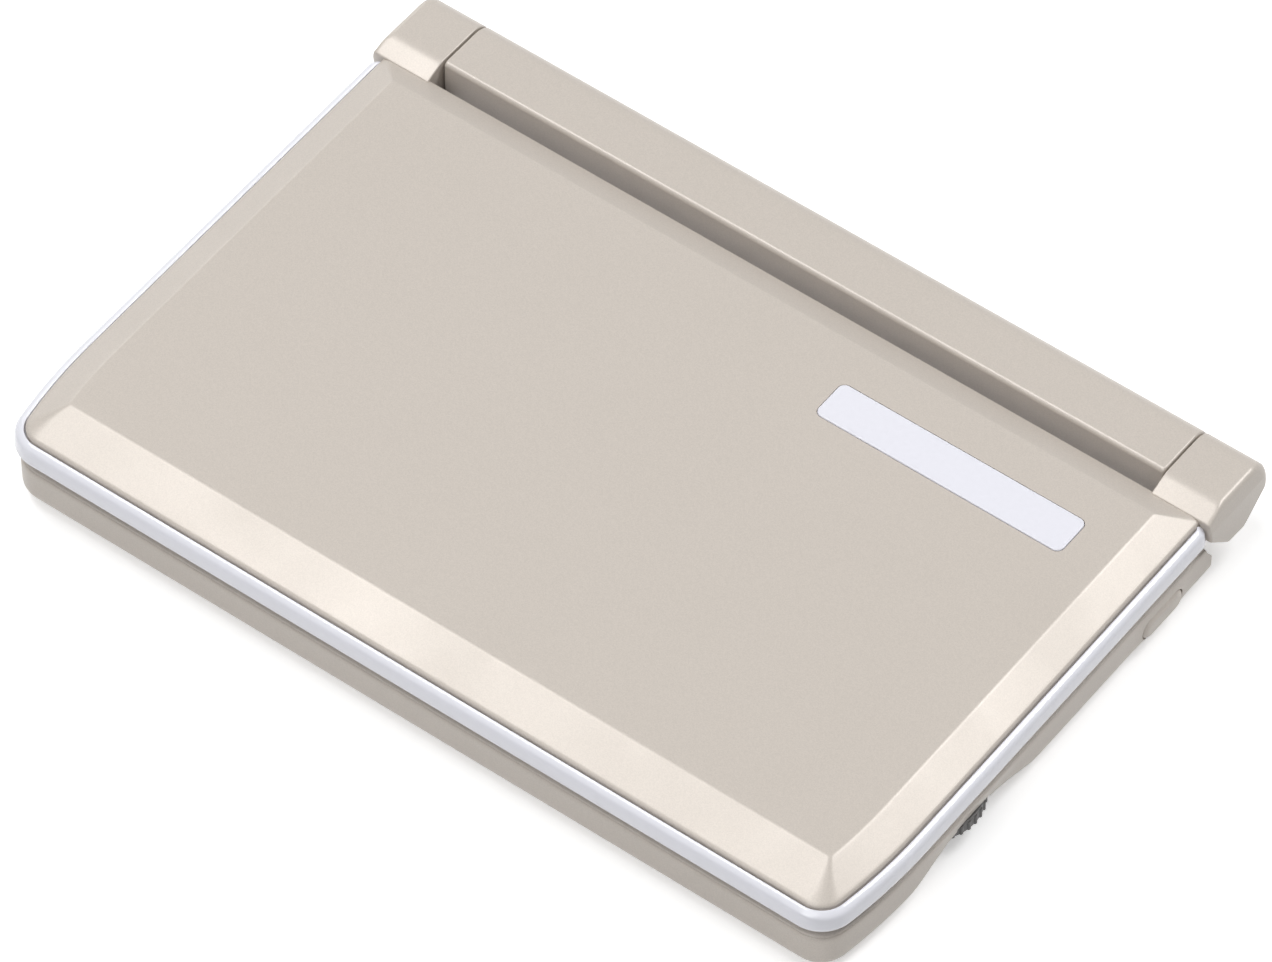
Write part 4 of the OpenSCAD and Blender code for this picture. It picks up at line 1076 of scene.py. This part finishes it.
def buildHatch():
    s = hatchShape
    low, high = span("battery_cover")
    t, r, edge, foot = s["wall"], s["corner"], s["edge"], baseLow.z
    corner = (rearY - r, foot + r)
    outer = [(low.y, foot)] + arcPoints(*corner, r, -90, 0, 10) + [(rearY, high.z)]
    inner = [(rearY - t, high.z)] + arcPoints(*corner, r - t, 0, -90, 10) + [(low.y, foot + t)]
    rings = []
    for x, e in ((low.x, edge), (low.x + edge, 0), (high.x - edge, 0), (high.x, edge)):
        thin = [(y + (e if y < low.y + 1 else 0), z) for y, z in outer]
        thin = [(y - e * (z - foot) / (high.z - foot), z + e * max(0, 1 - (z - foot))) for y, z in thin]
        rings.append([(x, y, z) for y, z in thin + inner])
    obj = loft("batteryCover", rings)
    bar = loft("barPart", [[(x, y, z) for x, y, _ in roundedRing(*(size * f for size in s["rib"]), 0, (0, 0), 4, 1)]
                           for f, z in s["ribLevels"]])
    smoothed(bar, 40, False)
    runTree(obj, ribTree, ribIds, {
        "Part": bar, "Count": s["ribs"], "Pitch": s["ribPitch"] * mm,
        "First": (0.0, (low.y + s["ribFirst"]) * mm, foot * mm), "Material": paint})
    bpy.data.objects.remove(bar)
    return finishPiece(obj, "hatch", None, ["battery_cover"], angle=35)


footShape = {"radius": 3.5, "profile": ((1, 0.3), (0.97, 0.12), (0.9, 0.02), (0.8, 0.0))}
caseScrew = {"radius": 1.75, "height": 0.6, "seat": 0.75, "turn": 0.9}


# The four corners of a node's box, moved in
def cornersOf(node, inset, z):
    low, high = span(node)
    return [(x, y, z) for x in (low.x + inset, high.x - inset) for y in (low.y + inset, high.y - inset)]


def buildFeet():
    r, s = footShape["radius"], caseScrew
    profile = [(r, span("feet")[1].z)] + [(r * f, z) for f, z in footShape["profile"]] + [(0.05, 0.0)]
    feet = copiesAt("feetPads", cornersOf("feet", r, 0), lathe("footPart", profile, (0, 0, 0), steps=48), rubber)
    finishPiece(feet, "base", None, ["feet"], angle=40)
    screws = copiesAt("caseScrews", cornersOf("case_screws", baseShape["screwInset"], baseLow.z + s["seat"]),
                      screwHead("screwPart", s["radius"], s["height"]), steel, s["turn"])
    finishPiece(screws, "base", None, ["case_screws"], angle=35)


dialShape = {"ribCount": 36, "ribRadius": 0.34, "ribShort": 0.3, "edge": 0.25, "fold": 0.07, "knurl": 0.22,
             "bore": 1.2, "step": (1.4, 1.6, 0.15)}


def buildDial():
    low, high, (x, y, z), size = boxOf("volume_dial")
    s = dialShape
    r, edge, fold = size[1] / 2, s["edge"], s["fold"]
    body = r - s["knurl"]
    start, foot, deep = s["step"]
    profile = [(s["bore"], low.z), (body - edge, low.z), (body - fold, low.z + fold), (body, low.z + edge),
               (body, high.z - edge), (body - fold, high.z - fold), (body - edge, high.z),
               (body - start, high.z), (body - foot, high.z - deep), (s["bore"], high.z - deep)]
    obj = lathe("volumeDial", profile, (x, y, 0), steps=108)
    runTree(obj, knurlTree, knurlIds, {
        "Radius": (r - s["ribRadius"]) * mm, "Count": s["ribCount"], "Rib Radius": s["ribRadius"] * mm,
        "Height": (high.z - low.z - s["ribShort"]) * mm, "Centre": (x * mm, y * mm, z * mm), "Material": dialPlastic})
    return finishPiece(obj, "dial", None, ["volume_dial"], angle=40)


# tip gives distance, width and height from the point on; groove is measured back from the cap
penShape = {
    "barrel": (6.4, 3.2), "cap": (9.6, 3.6), "capLength": 2.6, "capRound": 1.0, "capShrink": (2.2, 1.8),
    "tip": ((0, 0.5, 0.4), (0.08, 0.9, 0.8), (0.3, 1.3, 1.1), (1.2, 1.7, 1.3), (1.5, 2.4, 1.6)), "tipLength": 7.0,
    "taper": ((2.5, 0.86, 0.8), (0.8, 0.97, 0.95)), "groove": (9, 8.9, 8.5, 8.4), "grooveDepth": 0.3,
    "edge": 0.2, "nib": 1.4,
}


def buildPen():
    low, high, (_, y, z), _ = boxOf("stylus")
    s = penShape

    def section(x, w, h):
        return acrossX(x, w, h, h / 2 - 0.01, y, z, 10, 3)

    (bw, bh), (cw, ch) = s["barrel"], s["cap"]
    deep, edge = s["grooveDepth"], s["edge"]
    tip, end = low.x + s["tipLength"], high.x - s["capRound"]
    neck = high.x - 0.5 - s["capLength"]
    a, b, c, d = (neck - back for back in s["groove"])
    rings = [section(low.x + x, w, h) for x, w, h in s["tip"]]
    rings += [section(tip - back, bw * w, bh * h) for back, w, h in s["taper"]]
    rings += [section(x, bw - e, bh - e) for x, e in (
        (tip, 0), (tip + 1, 0), (a, 0), (b, deep), (c, deep), (d, 0), (neck, 0))]
    rings += [section(neck, cw - edge, ch - edge), section(neck + edge / 2, cw, ch), section(end, cw, ch)]
    wide, tall = s["capShrink"]
    rings += [section(end + s["capRound"] * n, cw - wide * (1 - c), ch - tall * (1 - c)) for c, n in quarter(7)]
    return finishPiece(loft("penBody", rings), "pen", [paint, darkPlastic], ["stylus"], angle=40,
                       pick=lambda centre: int(centre.x < low.x + s["nib"]))


buildBaseShell()
buildDeck()
buildBar()
buildHatch()
buildFeet()
buildDial()
buildPen()
print("base pieces made")

# Keys

keyShape = {"corner": 1.4, "leastCorner": 0.25, "edge": 0.32, "capDepth": 2.2, "skirt": 0.6, "dish": 0.25,
            "dishRadius": 30.0, "levels": (0.55, 1.0, 1.6, 2.2, 2.9), "flatWidth": 0.45, "letter": 3.0, "ink": 0.03,
            "stem": 1.8, "stemPast": 0.05}


# Flat letter as a plain mesh, in metres
def letterMesh(text, size, centre, z):
    curve = bpy.data.curves.new("letter", "FONT")
    curve.body = text
    curve.size = size * mm
    curve.align_x = curve.align_y = "CENTER"
    curve.extrude = keyShape["ink"] / 2 * mm
    curve.resolution_u = 4
    obj = placed("letter", curve)
    bpy.context.view_layer.update()
    graph = bpy.context.evaluated_depsgraph_get()
    mesh = bpy.data.meshes.new_from_object(obj.evaluated_get(graph), depsgraph=graph)
    bpy.data.objects.remove(obj)
    mesh.transform(Matrix.Translation(Vector((centre[0], centre[1], z)) * mm))
    return mesh


# A sign on a key from flat outlines, raised by the ink's thickness
def signMesh(outlines, centre, z):
    work = bmesh.new()
    half = keyShape["ink"] / 2
    for points in outlines:
        low, high = ([work.verts.new(Vector((centre[0] + x, centre[1] + y, z + h)) * mm) for x, y in points]
                     for h in (-half, half))
        work.faces.new(low[::-1])
        work.faces.new(high)
        for k in range(len(points)):
            n = (k + 1) % len(points)
            work.faces.new((low[k], low[n], high[n], high[k]))
    mesh = bpy.data.meshes.new("sign")
    bmesh.ops.recalc_face_normals(work, faces=work.faces)
    work.to_mesh(mesh)
    work.free()
    return mesh


# Points turned about the origin and scaled
def turned(points, degrees, size=1.0):
    c, s = math.cos(math.radians(degrees)) * size, math.sin(math.radians(degrees)) * size
    return [(x * c - y * s, x * s + y * c) for x, y in points]


# A ring of quads between two angles
def ringSign(r, t, start, end, steps=28):
    made = []
    for k in range(steps):
        (ax, ay), (bx, by) = (turned([(1, 0)], start + (end - start) * (k + j) / steps)[0] for j in (0, 1))
        made.append([(r * ax, r * ay), (r * bx, r * by), ((r - t) * bx, (r - t) * by), ((r - t) * ax, (r - t) * ay)])
    return made


arrow = [(-1.5, 0), (-0.5, 0.8), (-0.5, 0.22), (1.5, 0.22), (1.5, -0.22), (-0.5, -0.22), (-0.5, -0.8)]
keySigns = {
    "key_back": [arrow],
    "key_enter": [turned(arrow, 0, 0.9), [(1.0, -0.1), (1.4, -0.1), (1.4, 1.1), (1.0, 1.1)]],
    "key_power": ringSign(1.15, 0.3, 120, 420) + [[(-0.15, 0.2), (0.15, 0.2), (0.15, 1.4), (-0.15, 1.4)]],
}


# Adds the ink to a cap, and a stem as (x, y, low, high) below it
def inked(obj, ink, stem=None):
    work = bmesh.new()
    work.from_mesh(obj.data)
    capFaces = len(work.faces)
    work.from_mesh(ink)
    work.faces.ensure_lookup_table()
    for k, face in enumerate(work.faces):
        face.material_index = 0 if k < capFaces else 1
    if stem:
        x, y, low, high = stem
        r = keyShape["stem"] * mm
        bmesh.ops.create_cone(work, cap_ends=True, segments=24, radius1=r, radius2=r,
                              depth=(high - low + keyShape["stemPast"]) * mm,
                              matrix=Matrix.Translation(Vector((x, y, (high + low) / 2)) * mm))
    work.to_mesh(obj.data)
    work.free()
    bpy.data.meshes.remove(ink)


def buildKey(name):
    s = keyShape
    x, y, w, d, low, high = keyPlace(name)
    edge = s["edge"]
    capLow = max(high - s["capDepth"], low)

    def sunk(px):
        return min(0, (px - x) ** 2 / (2 * s["dishRadius"]) - s["dish"])

    def ring(shrink, z, dished=0.0):
        corner = max(s["corner"] - shrink, s["leastCorner"])
        level = roundedRing(w - 2 * shrink, d - 2 * shrink, corner, z, (x, y), 6, 5)
        return [(px, py, pz + dished * sunk(px)) for px, py, pz in level]

    rings = [ring(0, z) for z in (capLow, high - s["skirt"], high - edge)]
    rings += [ring(edge * (1 - c), high - edge * (1 - n), k / 5) for k, (c, n) in enumerate(quarter(5), 1)]
    rings += [ring(min(shrink, d / 2 - s["flatWidth"]), high, 1.0) for shrink in s["levels"] if d - 2 * shrink > 1.0]
    obj = loft("cap_" + name[4:], rings)
    top = high - s["dish"]
    if name in keySigns:
        ink = signMesh(keySigns[name], (x, y), top + 0.02)
    else:
        ink = letterMesh(name[4:].upper(), s["letter"], (x, y), top + 0.015)
    inked(obj, ink, (x, y, low, capLow) if capLow > low else None)
    return finishPiece(obj, name + "_body", [keyPaint, legendInk], [name], angle=40)


# dish gives radius and depth below the pad's top
padShape = {
    "rim": 2, "depth": 1.9, "edge": 0.35, "slope": ((0.75, 0.06), (0.5, 0.02)),
    "dish": ((4.0, 0), (3.7, 0.04), (3.55, 0.15), (3.5, 0.5), (3.2, 0.5), (3.1, 0.32), (2.9, 0.22), (2.0, 0.27),
             (0.8, 0.3), (0.05, 0.3)),
    "arrow": ((6.9, 0), (5.7, 0.75), (5.7, -0.75)), "inkDrop": 0.035,
}


def buildPad():
    s = padShape
    x, y, w, _, low, high = keyPlace("cursor_pad")
    r, edge = w / 2, s["edge"]
    under = high - s["depth"]
    profile = [(r - s["rim"], low), (r - s["rim"], under), (r, under), (r, high - edge)]
    profile += [(r - edge * (1 - c), high - edge * (1 - n)) for c, n in quarter(5)]
    profile += [(r * f, high - h) for f, h in s["slope"]] + [(a, high - h) for a, h in s["dish"]]
    obj = lathe("cursorPad", profile, (x, y, 0), steps=96)
    inked(obj, signMesh([turned(s["arrow"], turn) for turn in range(0, 360, 90)], (x, y), high - s["inkDrop"]))
    return finishPiece(obj, "cursor_pad_body", [keyPaint, legendInk], ["cursor_pad"], angle=40)


for keyName in keyNodes:
    buildKey(keyName)
buildPad()
print("keys made")

# Carried-over nodes

carried = {
    "hinge_shafts": steel, "hinge_barrels": steel, "batteries": sleeve, "battery_contacts": gold,
    "main_board": board, "dome_sheet": domeFilm, "speaker": darkPlastic, "earphone_jack": darkPlastic,
    "card_socket": steel, "volume_pot": steel, "sub_lcd": panelGround,
}
for name, material in carried.items():
    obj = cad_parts[name]
    obj.data.materials.clear()
    obj.data.materials.append(material)
print("carried-over nodes finished")

# Stage, camera and light


# 1 where a camera, glossy or transmission ray looks, and 0 elsewhere
def seenDirectly(tree):
    rays = node(tree, "ShaderNodeLightPath").outputs
    return math2(tree, "MAXIMUM", rays["Is Camera Ray"],
                 math2(tree, "MAXIMUM", rays["Is Glossy Ray"], rays["Is Transmission Ray"]))


# In metres; lift is the light that the floor adds for the eye only
floorShape = {"half": 1.6, "z": -0.0002, "grey": 0.86, "lift": 0.45}


def buildFloor():
    s = floorShape
    r, z, grey = s["half"], s["z"], s["grey"]
    mesh = bpy.data.meshes.new("floor")
    mesh.from_pydata([(-r, -r, z), (r, -r, z), (r, r, z), (-r, r, z)], [], [(0, 1, 2, 3)])
    floor = placed("floor", mesh)
    made = bpy.data.materials.new("floorPaper")
    tree = clearTree(made)
    paper = node(tree, "ShaderNodeBsdfDiffuse", {"Color": (grey, grey, grey, 1)})
    glow = node(tree, "ShaderNodeEmission", {
        "Color": (1, 1, 1, 1), "Strength": math2(tree, "MULTIPLY", seenDirectly(tree), s["lift"])})
    both = node(tree, "ShaderNodeAddShader", {0: paper.outputs[0], 1: glow.outputs[0]})
    mix = node(tree, "ShaderNodeMixShader", {
        0: node(tree, "ShaderNodeNewGeometry").outputs["Backfacing"], 1: both.outputs[0],
        2: node(tree, "ShaderNodeBsdfTransparent").outputs[0]})
    node(tree, "ShaderNodeOutputMaterial", {"Surface": mix.outputs[0]})
    mesh.materials.append(made)
    return floor


# Direction from the object towards an azimuth and an elevation, in degrees
def towards(azimuth, elevation):
    a, e = math.radians(azimuth), math.radians(elevation)
    return Vector((math.sin(a) * math.cos(e), -math.cos(a) * math.cos(e), math.sin(e)))


# Fitted to the photo: angles in degrees, focal length and frame in pixels, the rest in millimetres
cameraFit = {"azimuth": 37.186, "elevation": 50.976, "roll": -0.309, "focal": 9500.17, "frame": 1272,
             "sensor": 36.0, "distance": 1319.97, "shift": (4.673, -1.273), "scale": 1.0056,
             "origin": (0.0, -6.0, 13.7), "clip": (0.05, 20)}


def buildCamera():
    c = cameraFit
    back, roll = towards(c["azimuth"], c["elevation"]), math.radians(c["roll"])
    right = towards(c["azimuth"] + 90, 0)
    up = back.cross(right)
    across = right * math.cos(roll) + up * math.sin(roll)
    upward = up * math.cos(roll) - right * math.sin(roll)
    place = back * c["distance"] + across * c["shift"][0] + upward * c["shift"][1]
    data = bpy.data.cameras.new("photoCamera")
    data.sensor_width = c["sensor"]
    data.lens = c["sensor"] * c["focal"] / c["frame"]
    data.clip_start, data.clip_end = c["clip"]
    cam = placed("photoCamera", data)
    turn = Matrix((across, upward, back)).transposed().to_4x4()
    cam.matrix_world = Matrix.Translation((place * c["scale"] + Vector(c["origin"])) * mm) @ turn
    bpy.context.scene.camera = cam


# Each lamp: direction from the object (azimuth, elevation), distance, size, strength in watts
lamps = {
    "topFront": (0, 66, 1.2, 0.6, 1.8),
    "topLeft": (-79, 67, 1.2, 0.5, 4.75),
    "rightBack": (147, 54, 1.2, 0.5, 6.4),
    "front": (0, 40, 1.2, 0.6, 3.0),
    "leftBack": (-118, 25, 1.2, 0.6, 1.3),
}


def buildLamps():
    for name, (azimuth, elevation, distance, size, power) in lamps.items():
        back = towards(azimuth, elevation)
        data = bpy.data.lights.new(name, "AREA")
        data.shape = "DISK"
        data.size = size
        data.energy = power
        lamp = placed(name, data)
        lamp.location = back * distance
        lamp.rotation_mode = "QUATERNION"
        lamp.rotation_quaternion = back.to_track_quat("Z", "Y")


worldLight = {"fill": 0.05}


def buildWorld():
    world = bpy.data.worlds.new("studio")
    bpy.context.scene.world = world
    tree = clearTree(world)
    strength = node(tree, "ShaderNodeMapRange", {
        "Value": seenDirectly(tree), "To Min": worldLight["fill"], "To Max": 1.0})
    ground = node(tree, "ShaderNodeBackground", {"Color": (1, 1, 1, 1), "Strength": strength.outputs[0]})
    node(tree, "ShaderNodeOutputWorld", {"Surface": ground.outputs[0]})


buildFloor()
buildCamera()
buildLamps()
buildWorld()
bpy.context.scene.view_settings.view_transform = "Standard"
print("stage, camera and light ready")
